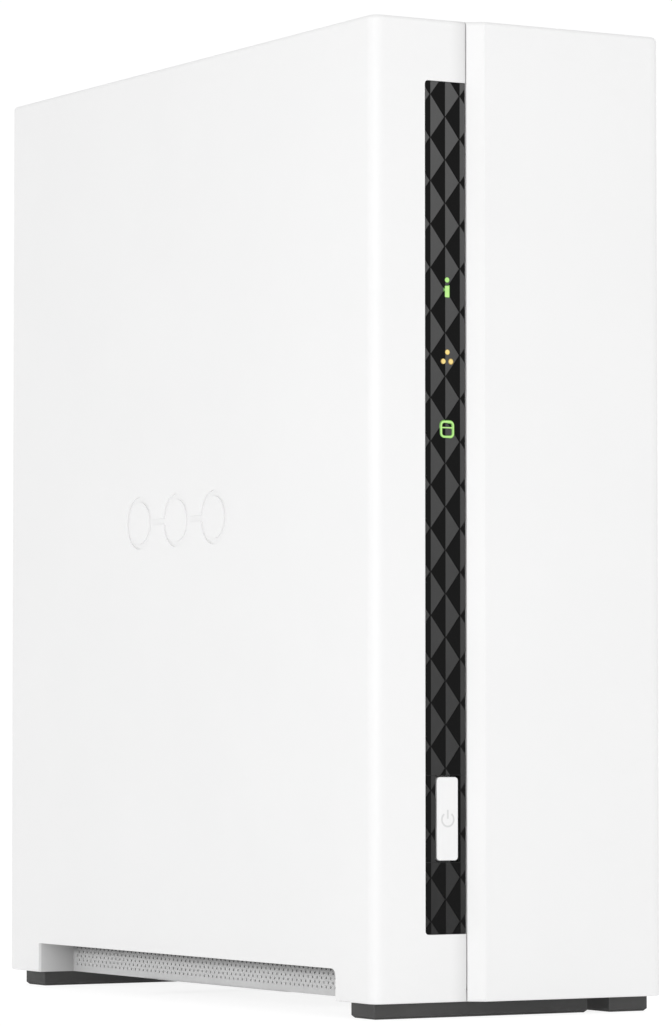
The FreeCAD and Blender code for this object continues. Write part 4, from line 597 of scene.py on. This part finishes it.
class Solid:
    """Corners and faces gathered from several closed forms; each face keeps its finish's place."""

    def __init__(self):
        self.corners, self.faces, self.finishes = [], [], []

    def skin(self, loops, finishes=None, caps=(True, True)):
        """Joins loops of equal length one after the other, and closes the two ends."""
        start, count = len(self.corners), len(loops[0])
        for loop in loops:
            self.corners.extend(Vector(point) for point in loop)
        for band in range(len(loops) - 1):
            for k in range(count):
                a, b = start + band * count + k, start + band * count + (k + 1) % count
                self.faces.append((a, b, b + count, a + count))
                self.finishes.append(finishes[band] if finishes else 0)
        last = start + (len(loops) - 1) * count
        if caps[0]:
            self.faces.append(tuple(range(start + count - 1, start - 1, -1)))
            self.finishes.append(finishes[0] if finishes else 0)
        if caps[1]:
            self.faces.append(tuple(range(last, last + count)))
            self.finishes.append(finishes[-1] if finishes else 0)
        return self

    def ringed(self, loops, finishes=None):
        """Joins loops of equal length, and the last to the first, like a ring's section."""
        return self.skin(list(loops) + [loops[0]], finishes, caps=(False, False))

    def mesh(self, name, angle):
        data = bpy.data.meshes.new(name)
        data.from_pydata([tuple(c) for c in self.corners], [], self.faces)
        for polygon, place in zip(data.polygons, self.finishes):
            polygon.material_index = place
        shape = bmesh.new()
        shape.from_mesh(data)
        bmesh.ops.remove_doubles(shape, verts=shape.verts, dist=0.0005 * MM)
        bmesh.ops.recalc_face_normals(shape, faces=shape.faces)
        shape.to_mesh(data)
        shape.free()
        return smoothed(data, angle)

    def piece(self, name, body, slot, materials=None, angle=radians(32)):
        """The finished object, riding on its body and wearing its slot's finish or those given."""
        made = linked(name, self.mesh(name, angle))
        for material in materials or [FINISHES[slot]]:
            made.data.materials.append(material)
        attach(made, body)
        return made


def rounded_loop(width, height, radius, segments=6):
    """Points round a rectangle with rounded corners, about its middle, in two axes."""
    points = []
    for across, up, first in ((1, 1, 0), (-1, 1, 90), (-1, -1, 180), (1, -1, 270)):
        for k in range(segments + 1):
            turn = radians(first + 90 * k / segments)
            points.append((across * (width / 2 - radius) + radius * cos(turn),
                           up * (height / 2 - radius) + radius * sin(turn)))
    return points


def circle_loop(radius, segments=32):
    return [(radius * cos(2 * pi * k / segments), radius * sin(2 * pi * k / segments))
            for k in range(segments)]


def laid(points, place, height, axis=1):
    """A flat outline laid square to an axis, at a height along it."""
    return [placed_on(axis, place[0] + u, place[1] + v, height) for u, v in points]


def plate(solid, outline, place, back, front, rim, finishes=(0, 0), axis=1):
    """A raised plate on a flat face: its edge leans in by the rim, then its own flat face."""
    full, inner = outline(0.0), laid(outline(rim), place, front, axis)
    step = (front - back) * 0.5
    solid.skin([laid(full, place, back, axis), laid(full, place, back + step, axis), inner],
               [finishes[0], finishes[0]], caps=(True, False))
    start = len(solid.corners)
    solid.corners.extend(inner)
    solid.faces.append(tuple(range(start, start + len(inner))))
    solid.finishes.append(finishes[1])


# --- the strip's diamonds

DIAMOND_HALF = 3.26 * MM
DIAMOND_TALL = 8.215 * MM
MIDDLE_COLUMN = 4.49 * MM
FIRST_NODE = 6.65 * MM
FACET_FOOT = 0.05 * MM
FACET_RISE = 0.20 * MM
FACET_GAP = 0.035 * MM
STRIP_CORNER = 0.65 * MM
BUTTON_GAP = 0.32 * MM
SMALLEST_FACET = 0.02 * MM * MM


def clipped(polygon, point, normal):
    """What of a flat polygon lies on the inner side of a line."""
    def side(p):
        return (p[0] - point[0]) * normal[0] + (p[1] - point[1]) * normal[1]
    kept = []
    for one, other in zip(polygon, polygon[1:] + polygon[:1]):
        here, there = side(one), side(other)
        if here >= 0:
            kept.append(one)
        if here * there < 0:
            share = here / (here - there)
            kept.append((one[0] + share * (other[0] - one[0]), one[1] + share * (other[1] - one[1])))
    return kept


def window_lines(low, high):
    """The lines that bound the strip's window: four sides, and its two rounded left corners."""
    lines = [((low.x, 0), (1, 0)), ((high.x, 0), (-1, 0)),
             ((0, low.z), (0, 1)), ((0, high.z), (0, -1))]
    for end, up in ((low.z, 1), (high.z, -1)):
        centre = (low.x + STRIP_CORNER, end + up * STRIP_CORNER)
        for degrees in (18, 36, 54, 72):
            turn = radians(degrees)
            away = (-cos(turn), -up * sin(turn))
            touch = (centre[0] + STRIP_CORNER * away[0], centre[1] + STRIP_CORNER * away[1])
            lines.append((touch, (-away[0], -away[1])))
    return lines


def shrunk(polygon, gap):
    """A convex polygon drawn in a little towards its middle."""
    x = sum(p[0] for p in polygon) / len(polygon)
    z = sum(p[1] for p in polygon) / len(polygon)
    drawn = []
    for u, v in polygon:
        away = max(((u - x) ** 2 + (v - z) ** 2) ** 0.5, 1e-9)
        share = max(0.0, 1 - 1.6 * gap / away)
        drawn.append((x + share * (u - x), z + share * (v - z)))
    return drawn


def area_of(polygon):
    pairs = zip(polygon, polygon[1:] + polygon[:1])
    return abs(sum(a[0] * b[1] - b[0] * a[1] for a, b in pairs)) / 2


def make_strip_facets():
    """Diamonds in relief on the strip, each split by its upright diagonal into two leaning facets: the
    left one painted in shade, the right one painted lit.
    """
    low, high = front_of("indicator_strip", 0.02 * MM)
    button_low, button_high = front_of("power_button", 0.5 * MM)
    face = low.y
    window = window_lines(low, high)
    below, above = button_low.z - BUTTON_GAP, button_high.z + BUTTON_GAP
    left, right = button_low.x - BUTTON_GAP, button_high.x + BUTTON_GAP
    beside = [((0, below), (0, 1)), ((0, above), (0, -1))]
    regions = [[((0, above), (0, 1))], [((0, below), (0, -1))],
               beside + [((left, 0), (-1, 0))], beside + [((right, 0), (1, 0))]]
    solid = Solid()
    rows = int((high.z - low.z) / DIAMOND_TALL) + 3
    for column in range(-2, 4):
        x = low.x + MIDDLE_COLUMN + column * DIAMOND_HALF
        for row in range(-1, rows):
            top = high.z - FIRST_NODE - (row - 0.5 * (column % 2)) * DIAMOND_TALL
            for side in (-1, 1):
                half = [(x, top), (x + side * DIAMOND_HALF, top - DIAMOND_TALL / 2),
                        (x, top - DIAMOND_TALL)]
                for region in regions:
                    cut = half
                    for point, normal in window + region:
                        cut = clipped(cut, point, normal) if len(cut) > 2 else []
                    if len(cut) < 3 or area_of(cut) < SMALLEST_FACET:
                        continue
                    cut = shrunk(cut, FACET_GAP)
                    rise = [FACET_FOOT + FACET_RISE * (1 - abs(u - x) / DIAMOND_HALF) for u, _ in cut]
                    back = [(u, face + FACET_GAP, v) for u, v in cut]
                    front = [(u, face - h, v) for (u, v), h in zip(cut, rise)]
                    # Painted light: left-leaning facets take the painted shade, right-leaning ones the
                    # painted highlight.
                    solid.skin([back, front], [0 if side < 0 else 1])
    solid.piece("strip_facets", BODY, "strip_black", [STRIP_PAINTED_SHADE, STRIP_PAINTED_HIGHLIGHT], radians(5))


# --- lights and the button's symbol

DOT = 0.65 * MM
LAMP_RIM = 0.2 * MM
LAMP_PROUD = 0.28 * MM
STATUS_DOT_UP, STATUS_BAR_DOWN, STATUS_BAR_TALL = 1.7 * MM, 0.5 * MM, 2.5 * MM
# Each dot's place about the lamp's middle, in millimetres.
NETWORK_DOTS = ((0.05, 1.1), (-0.82, -0.65), (0.82, -0.65))
# The broken ring's gap in degrees, and its steps.
SYMBOL_GAP, SYMBOL_STEPS = 76, 40


def make_status_lamp(back, front):
    """A dot over a bar."""
    place = middle("status_light_guide")
    solid = Solid()
    plate(solid, lambda rim: circle_loop(DOT - rim), (place.x, place.z + STATUS_DOT_UP), back,
          front, LAMP_RIM, (0, 1))
    plate(solid, lambda rim: rounded_loop(2 * (DOT - rim), STATUS_BAR_TALL - 2 * rim, 0.12 * MM),
          (place.x, place.z - STATUS_BAR_DOWN), back, front, LAMP_RIM, (0, 1))
    solid.piece("status_lamp_face", BODY, "light_green", [GREEN_EDGE, GREEN_CORE])


def make_network_lamp(back, front):
    """Three dots in a triangle."""
    place = middle("network_light_guide")
    solid = Solid()
    for x, z in NETWORK_DOTS:
        plate(solid, lambda rim: circle_loop(DOT - rim), (place.x + x * MM, place.z + z * MM),
              back, front, LAMP_RIM, (0, 1))
    solid.piece("network_lamp_face", BODY, "light_amber", [AMBER_EDGE, AMBER_CORE])


def make_disk_lamp(back, front):
    """A rounded frame with a thin bar across its upper third."""
    place = middle("disk_light_guide")
    wide, tall, line, corner = 3.3 * MM, 3.5 * MM, 0.66 * MM, 1.0 * MM
    rim = 0.16 * MM

    def loop(inset, y):
        outline = rounded_loop(wide - 2 * inset, tall - 2 * inset, max(corner - inset, 0.2 * MM))
        return laid(outline, (place.x, place.z), y)

    half = (front - back) * 0.5
    solid = Solid()
    solid.ringed([loop(0, back), loop(0, back + half), loop(rim, front), loop(line - rim, front),
                  loop(line, back + half), loop(line, back)], [0, 0, 1, 0, 0, 0])
    bar = rounded_loop(wide - 1.6 * line, 0.3 * MM, 0.05 * MM, 2)
    plate(solid, lambda lean: [(u, v * (1 - lean / (0.4 * MM))) for u, v in bar],
          (place.x, place.z + 0.3 * MM), back, front + 0.02 * MM, 0.1 * MM, (0, 1))
    solid.piece("disk_lamp_face", BODY, "light_green", [GREEN_EDGE, GREEN_CORE])


def make_button_symbol():
    """A broken ring with an upright bar, printed on the power button."""
    low, high = front_of("power_button", 0.02 * MM)
    x, z = (low.x + high.x) / 2, (low.z + high.z) / 2
    back, front = low.y + 0.02 * MM, low.y - 0.02 * MM
    ring, line = 1.3 * MM, 0.34 * MM
    sections = []
    near, far = ring - line / 2, ring + line / 2
    for k in range(SYMBOL_STEPS + 1):
        turn = radians(90 + SYMBOL_GAP / 2 + (360 - SYMBOL_GAP) * k / SYMBOL_STEPS)
        sections.append([(x + r * cos(turn), y, z + r * sin(turn) - 0.15 * MM)
                         for r, y in ((near, back), (near, front), (far, front), (far, back))])
    solid = Solid().skin(sections)
    bar = rounded_loop(line, 1.7 * MM, 0.1 * MM, 3)
    solid.skin([laid(bar, (x, z + 0.85 * MM), y) for y in (back, front)])
    solid.piece("power_button_symbol", "power_button", "reset_grey", [SYMBOL_GREY])


# --- screws

SCREW_SIDES = 32
THREAD_PITCH = 0.55 * MM
CROSS_REACH, CROSS_DEPTH = 0.55, 0.8


def screw_frame(points, axis):
    """A screw's measures: the middle of its head's top, its outward direction and its sizes."""
    low, high = box_of(points)
    others = other_axes(axis)
    centre = (low + high) / 2

    def away(p):
        return sum((p[i] - centre[i]) ** 2 for i in others) ** 0.5

    head_radius = max(away(p) for p in points)
    heads = [p[axis] for p in points if away(p) > 0.95 * head_radius]
    outward = 1 if high[axis] - max(heads) < min(heads) - low[axis] else -1
    end, top, under = ((low[axis], high[axis], min(heads)) if outward > 0 else
                       (high[axis], low[axis], max(heads)))
    shank_radius = max(away(p) for p in points if abs(p[axis] - end) < 0.05 * MM)
    centre[axis] = top
    direction = Vector((0, 0, 0))
    direction[axis] = outward
    return centre, direction, head_radius, abs(top - under), shank_radius, high[axis] - low[axis]


def screw_profile(head_radius, head, shank_radius, length):
    """Radius and depth below the head's top, from the top's edge down to the tip."""
    profile = [(head_radius * sin(radians(a)), head * 0.45 * (1 - cos(radians(a))))
               for a in (8, 25, 42, 58, 74, 90)]
    profile += [(head_radius, head * 0.92), (head_radius - 0.1 * MM, head)]
    profile.append((shank_radius * 0.97, head + 0.05 * MM))
    depth = head + 0.35 * MM
    while depth < length - 0.9 * MM:
        profile += [(shank_radius * 0.80, depth), (shank_radius * 0.99, depth + 0.45 * THREAD_PITCH)]
        depth += THREAD_PITCH
    profile += [(shank_radius * 0.8, length - 0.5 * MM), (shank_radius * 0.55, length)]
    return profile


def cross_tool(radius, depth):
    """The tapered cross that a driver's point fits."""
    tool = Solid()
    for quarter in (0, 90):
        turn = Matrix.Rotation(radians(quarter), 3, "Z")
        loops = []
        for height, reach, half in ((0.2 * MM, radius, 0.16 * radius),
                                    (-depth, 0.45 * radius, 0.10 * radius)):
            loops.append([turn @ Vector((x * reach, y * half * 2, height))
                          for x, y in ((1, 1), (-1, 1), (-1, -1), (1, -1))])
        tool.skin(loops)
    return tool


def recessed(data, tool):
    """A screw's mesh with the cross cut out of its head."""
    screw = linked("screw_blank", data)
    cutter = linked("screw_cross", tool.mesh("screw_cross", radians(30)))
    cut = screw.modifiers.new("cross", "BOOLEAN")
    cut.operation, cut.object, cut.solver, cut.use_self = "DIFFERENCE", cutter, "EXACT", True
    graph = bpy.context.evaluated_depsgraph_get()
    made = bpy.data.meshes.new_from_object(screw.evaluated_get(graph))
    for part in (screw, cutter):
        bpy.data.objects.remove(part)
    return made


def make_screws(node, axis):
    """Pan-head cross-recess screws in the places and sizes of a CAD node's plain ones."""
    every = bmesh.new()
    blanks = {}
    for points in solids_of(node):
        top, direction, *sizes = screw_frame(points, axis)
        kind = tuple(round(size, 5) for size in sizes)
        if kind not in blanks:
            head_radius, head, _, _ = sizes
            solid = Solid()
            solid.skin([[(r * u, r * v, -depth) for u, v in circle_loop(1.0, SCREW_SIDES)]
                        for r, depth in screw_profile(*sizes)])
            blanks[kind] = recessed(solid.mesh("screw_blank", radians(40)),
                                    cross_tool(head_radius * CROSS_REACH, head * CROSS_DEPTH))
        turned = direction.to_track_quat("Z", "Y").to_matrix().to_4x4()
        placed = blanks[kind].copy()
        placed.transform(Matrix.Translation(top) @ turned)
        every.from_mesh(placed)
        bpy.data.meshes.remove(placed)
    data = bpy.data.meshes.new(node + "_detailed")
    every.to_mesh(data)
    every.free()
    smoothed(data, radians(35))
    data.materials.clear()
    data.materials.append(FINISHES["screw_steel"])
    made = linked(node + "_cross_head", data)
    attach(made, BODY)
    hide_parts(node)


# --- the perforated grille

HOLE_ROWS = 5
HOLE_PITCH = 1.75 * MM
ROW_HIGH = 0.88 * MM
HOLE_RADIUS = 0.29 * MM
FIRST_ROW = 1.15 * MM
END_MARGIN = 1.0 * MM


def thick_sheet(faces, axis, low, high):
    """A solid sheet from flat faces that share their corners: two skins and every open edge's wall."""
    places, rings, uses = {}, [], {}
    for face in faces:
        ring = [places.setdefault((round(u, 7), round(v, 7)), len(places)) for u, v in face]
        for one, other in zip(ring, ring[1:] + ring[:1]):
            uses.setdefault(frozenset((one, other)), []).append((one, other))
        rings.append(ring)
    count, solid = len(places), Solid()
    for height in (low, high):
        solid.corners += laid(places, (0.0, 0.0), height, axis)
    for ring in rings:
        solid.faces += [tuple(ring), tuple(k + count for k in reversed(ring))]
    for edges in uses.values():
        if len(edges) == 1:
            one, other = edges[0]
            solid.faces.append((other, one, one + count, other + count))
    solid.finishes = [0] * len(solid.faces)
    return solid


def holed_cell(left, foot):
    """One cell of a perforated sheet: eight faces round an eight-sided hole."""
    half, tall = HOLE_PITCH / 2, ROW_HIGH / 2
    y, z = left + half, foot + tall
    rim = [(1, 0), (1, 1), (0, 1), (-1, 1), (-1, 0), (-1, -1), (0, -1), (1, -1)]
    outer = [(y + u * half, z + v * tall) for u, v in rim]
    hole = [(y + u * 0.5, z + v * 0.5) for u, v in circle_loop(2 * HOLE_RADIUS, 8)]
    return [(outer[k], outer[(k + 1) % 8], hole[(k + 1) % 8], hole[k]) for k in range(8)]


def make_grille():
    """The intake's sheet with five staggered rows of fine holes."""
    low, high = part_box("intake_grille")
    half = HOLE_PITCH / 2
    cells = int((high.y - low.y - 2 * END_MARGIN) / HOLE_PITCH)
    start = (low.y + high.y - cells * HOLE_PITCH) / 2
    stop = start + cells * HOLE_PITCH
    foot = low.z + FIRST_ROW
    top = foot + HOLE_ROWS * ROW_HIGH
    faces = []
    for row in range(HOLE_ROWS):
        z, shift = foot + row * ROW_HIGH, half * (row % 2)
        for k in range(cells - row % 2):
            faces += holed_cell(start + shift + k * HOLE_PITCH, z)
        levels = (z, z + ROW_HIGH / 2, z + ROW_HIGH)
        for outside, border, inside in ((low.y, start, start + shift), (high.y, stop, stop - shift)):
            faces.append([(outside, levels[0]), (border, levels[0]), (inside, levels[0]),
                          (inside, levels[1]), (inside, levels[2]), (border, levels[2]),
                          (outside, levels[2])])
    steps = [low.y] + [start + k * half for k in range(2 * cells + 1)] + [high.y]
    for near, far in zip(steps, steps[1:]):
        faces += [[(near, low.z), (far, low.z), (far, foot), (near, foot)],
                  [(near, top), (far, top), (far, high.z), (near, high.z)]]
    faces = [[p for k, p in enumerate(face) if p != face[k - 1]] for face in faces]
    sheet = thick_sheet(faces, 0, low.x, high.x)
    made = sheet.piece("intake_grille_fine", BODY, "grille_white")
    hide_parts("intake_grille")


# --- labels and beads

LABEL_THICK = 0.05 * MM
LABEL_RIM = 0.03 * MM
LABEL_CORNER = 1.5 * MM
DRIVE_LABEL = (66 * MM, 40 * MM)
RATING_LABEL = (36 * MM, 62 * MM)
HUB_LABEL_RADIUS = 8.6 * MM


def face_of(node, axis, outward):
    """How far along an axis a node's outer face lies."""
    low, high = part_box(node)
    return high[axis] if outward > 0 else low[axis]


def make_label(name, node, axis, outward, place, outline, finish, body, slot):
    """A thin printed label on one flat side of a node."""
    face = face_of(node, axis, outward)
    solid = Solid()
    plate(solid, outline, place, face, face + outward * LABEL_THICK, LABEL_RIM, axis=axis)
    solid.piece(name, body, slot, [finish])


def card(size):
    """A card's outline, drawn in by its rim."""
    return lambda rim: rounded_loop(size[0] - 2 * rim, size[1] - 2 * rim, LABEL_CORNER - rim)


def make_labels():
    """Blank labels: on the drive's lid, under the case, and on the fan's hub."""
    foot, disc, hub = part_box("drive_lid")[0].z, middle("disc_stack"), middle("fan_rotor")
    make_label("drive_label", "drive_lid", 0, 1, (disc.y, foot + 24 * MM), card(DRIVE_LABEL),
               DRIVE_PAPER, BODY, "lid_steel")
    make_label("rating_label", "left_shell", 2, -1, (-6 * MM, 0.0), card(RATING_LABEL),
               RATING_PAPER, BODY, "case_white")
    make_label("fan_hub_label", "fan_rotor", 1, -1, (hub.x, hub.z),
               lambda rim: circle_loop(HUB_LABEL_RADIUS - rim, 48), HUB_PAPER, "fan_rotor",
               "part_black")


# Each bead's radius, width and rise, in millimetres.
LID_BEADS = ((44.0, 1.6, 0.35), (17.0, 1.2, 0.3), (9.0, 0.9, 0.25))


def make_lid_bead():
    """The pressed beads of the drive's lid: a ring round the discs and two at their hub."""
    disc, high = middle("disc_stack"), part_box("drive_lid")[1]
    solid = Solid()
    for radius, wide, rise in LID_BEADS:
        section = [(radius + wide * cos(turn) / 2, rise * sin(turn))
                   for turn in (pi * k / 8 for k in range(9))]
        solid.ringed([laid(circle_loop(reach * MM, 96), (disc.y, disc.z),
                           high.x + up * MM - 0.01 * MM, 0) for reach, up in section])
    solid.piece("drive_lid_beads", BODY, "lid_steel", angle=radians(50))


# --- small parts on the boards

HOLLOW = ("left_shell", "case_cover", "back_panel", "drive_bracket")
CLEAR = 1.0 * MM
CHIP_PITCH = (3.1 * MM, 2.4 * MM)
# Length, width and height of the larger and the smaller chip, in millimetres.
CHIP_SIZES = ((1.6, 0.8, 0.5), (1.0, 0.5, 0.35))
CHIPS_TURNED, CHIPS_BIG = 0.4, 0.5


def taken_places(board_node, axis, face, outward):
    """The rectangles on a board's face where other parts stand."""
    across, up = other_axes(axis)
    near, far = sorted((face + outward * 0.02 * MM, face + outward * CLEAR))
    taken = []
    for node in NODES:
        low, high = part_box(node)
        if node in HOLLOW or node == board_node or low[axis] > far or high[axis] < near:
            continue
        for points in solids_of(node):
            low, high = box_of(points)
            if low[axis] < far and high[axis] > near:
                taken.append((low[across] - CLEAR, high[across] + CLEAR, low[up] - CLEAR,
                              high[up] + CLEAR))
    return taken


def chip(solid, spot, length, wide, tall):
    """A ceramic chip between its two tinned ends."""
    end = 0.26 * length
    bands = [(-length / 2, 0.90), (-length / 2 + 0.04 * MM, 1.0), (end - length / 2, 1.0),
             (end - length / 2 + 0.02 * MM, 0.9), (length / 2 - end - 0.02 * MM, 0.9),
             (length / 2 - end, 1.0), (length / 2 - 0.04 * MM, 1.0), (length / 2, 0.90)]
    loops = [[spot(along, u * size, tall / 2 + v * size)
              for u, v in rounded_loop(wide, tall, 0.08 * MM, 1)] for along, size in bands]
    solid.skin(loops, [1, 1, 1, 0, 1, 1, 1])


def make_chips(name, node, axis, outward, chance, seed):
    """Small chips scattered in rows over the free places of one face of a board."""
    low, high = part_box(node)
    face = face_of(node, axis, outward)
    across, up = other_axes(axis)
    taken = taken_places(node, axis, face, outward)
    dice = random.Random(seed)
    solid = Solid()
    for column in range(int((high[across] - low[across]) / CHIP_PITCH[0])):
        for row in range(int((high[up] - low[up]) / CHIP_PITCH[1])):
            u = low[across] + (column + 0.7) * CHIP_PITCH[0]
            v = low[up] + (row + 0.8) * CHIP_PITCH[1]
            turned, big = dice.random() < CHIPS_TURNED, dice.random() < CHIPS_BIG
            used = dice.random() < chance
            busy = any(a < u < b and c < v < d for a, b, c, d in taken)
            inside = (low[across] + CLEAR < u < high[across] - CLEAR
                      and low[up] + CLEAR < v <= high[up] - CLEAR)
            if busy or not used or not inside:
                continue

            def spot(along, side, height):
                shift = (side, along) if turned else (along, side)
                return placed_on(axis, u + shift[0], v + shift[1], face + outward * height)

            chip(solid, spot, *(length * MM for length in CHIP_SIZES[0 if big else 1]))
    solid.piece(name, BODY, "part_black", [CERAMIC, FINISHES["socket_steel"]])


def make_cans():
    """Capacitor cans: a dark base, a crimped groove, a rounded rim and a scored top."""
    solid = Solid()
    for points in solids_of("capacitors"):
        low, high = box_of(points)
        place = ((low.y + high.y) / 2, (low.z + high.z) / 2)
        radius, tall = (high.y - low.y) / 2, high.x - low.x
        plate(solid, lambda rim: rounded_loop(2 * (radius - rim), 2 * (radius - rim), 0.5 * MM),
              place, low.x, low.x + 0.8 * MM, 0.1 * MM, (1, 1), axis=0)
        profile = [(0.90, 0.8 * MM), (0.93, 1.0 * MM), (0.93, 1.5 * MM), (0.85, 1.75 * MM),
                   (0.93, 2.0 * MM), (0.93, tall - 0.5 * MM), (0.90, tall - 0.15 * MM),
                   (0.82, tall), (0.72, tall), (0.70, tall - 0.12 * MM)]
        solid.skin([laid(circle_loop(radius * share, 40), place, low.x + rise, 0)
                    for share, rise in profile])
        for turn in (0.0, pi / 2):
            groove = [(u * cos(turn) - v * sin(turn), u * sin(turn) + v * cos(turn))
                      for u, v in rounded_loop(1.1 * radius, 0.22 * MM, 0.08 * MM, 2)]
            solid.skin([laid(groove, place, low.x + tall - depth, 0)
                        for depth in (0.13 * MM, 0.07 * MM)], [1])
    made = solid.piece("capacitor_cans", BODY, "cast_aluminium",
                       [FINISHES["cast_aluminium"], FINISHES["part_black"]])
    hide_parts("capacitors")


CONTACT_OFFSETS = (-3.5, -1.0, 1.0, 3.5)
CONTACT_MARGIN, CONTACT_WIDE = 1.0 * MM, 1.0 * MM
CONTACT_THICK, CONTACT_RIM = 0.12 * MM, 0.06 * MM
LEAD_COUNT = 16
# A lead's outline, in millimetres out from the chip and up from the board.
LEAD_BEND = ((0.0, 0.62), (0.25, 0.62), (0.42, 0.5), (0.5, 0.12), (0.85, 0.1), (0.85, 0.0),
             (0.42, 0.0), (0.34, 0.4), (0.25, 0.5), (0.0, 0.5))


def make_usb_contacts():
    """Four gilt strips on the inner face of each tongue."""
    solid = Solid()
    for node in ("usb_tongue", "usb_tongue_fast"):
        low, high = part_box(node)
        z = (low.z + high.z) / 2
        long = high.y - low.y - 2 * CONTACT_MARGIN
        for offset in CONTACT_OFFSETS:
            plate(solid, lambda rim: rounded_loop(long - 2 * rim, CONTACT_WIDE - 2 * rim, 0.2 * MM),
                  ((low.y + high.y) / 2, z + offset * MM), low.x, low.x - CONTACT_THICK,
                  CONTACT_RIM, axis=0)
    solid.piece("usb_contacts", BODY, "contact_gold")


def make_flash_leads():
    """Bent tin leads along the two short sides of the flash chip."""
    low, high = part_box("flash_chip")
    middle_y, half, foot = (low.y + high.y) / 2, (high.y - low.y) / 2, low.x
    solid = Solid()
    for side in (-1, 1):
        for number in range(LEAD_COUNT):
            z = low.z + (number + 1.0) * (high.z - low.z) / (LEAD_COUNT + 1)
            solid.skin([[(foot + up * MM, middle_y + side * (half + out * MM), z + shift)
                         for out, up in LEAD_BEND] for shift in (-0.2 * MM, 0.2 * MM)])
    solid.piece("flash_chip_leads", BODY, "socket_steel")


# --- building it all

make_camera()
make_floor()
make_world()
make_lights()
dress_frame()
make_strip_facets()
make_grille()
make_labels()
make_lid_bead()
make_chips("main_board_chips", "main_board", 0, 1, 0.32, 5)
make_chips("front_board_chips", "front_board", 1, 1, 0.30, 9)
make_chips("drive_board_chips", "drive_board", 0, -1, 0.34, 3)
make_cans()
make_usb_contacts()
make_flash_leads()

strip_face = front_of("indicator_strip", 0.02 * MM)[0].y
for make_lamp in (make_status_lamp, make_network_lamp, make_disk_lamp):
    make_lamp(strip_face + 0.02 * MM, strip_face - LAMP_PROUD)
make_button_symbol()
for screw_node, screw_axis in (("case_screws", 1), ("fan_screws", 1), ("front_board_screws", 1),
                               ("main_board_screws", 0), ("drive_lid_screws", 0),
                               ("drive_screws", 1), ("bracket_screws", 2)):
    make_screws(screw_node, screw_axis)

bpy.context.scene.view_settings.view_transform = "Standard"
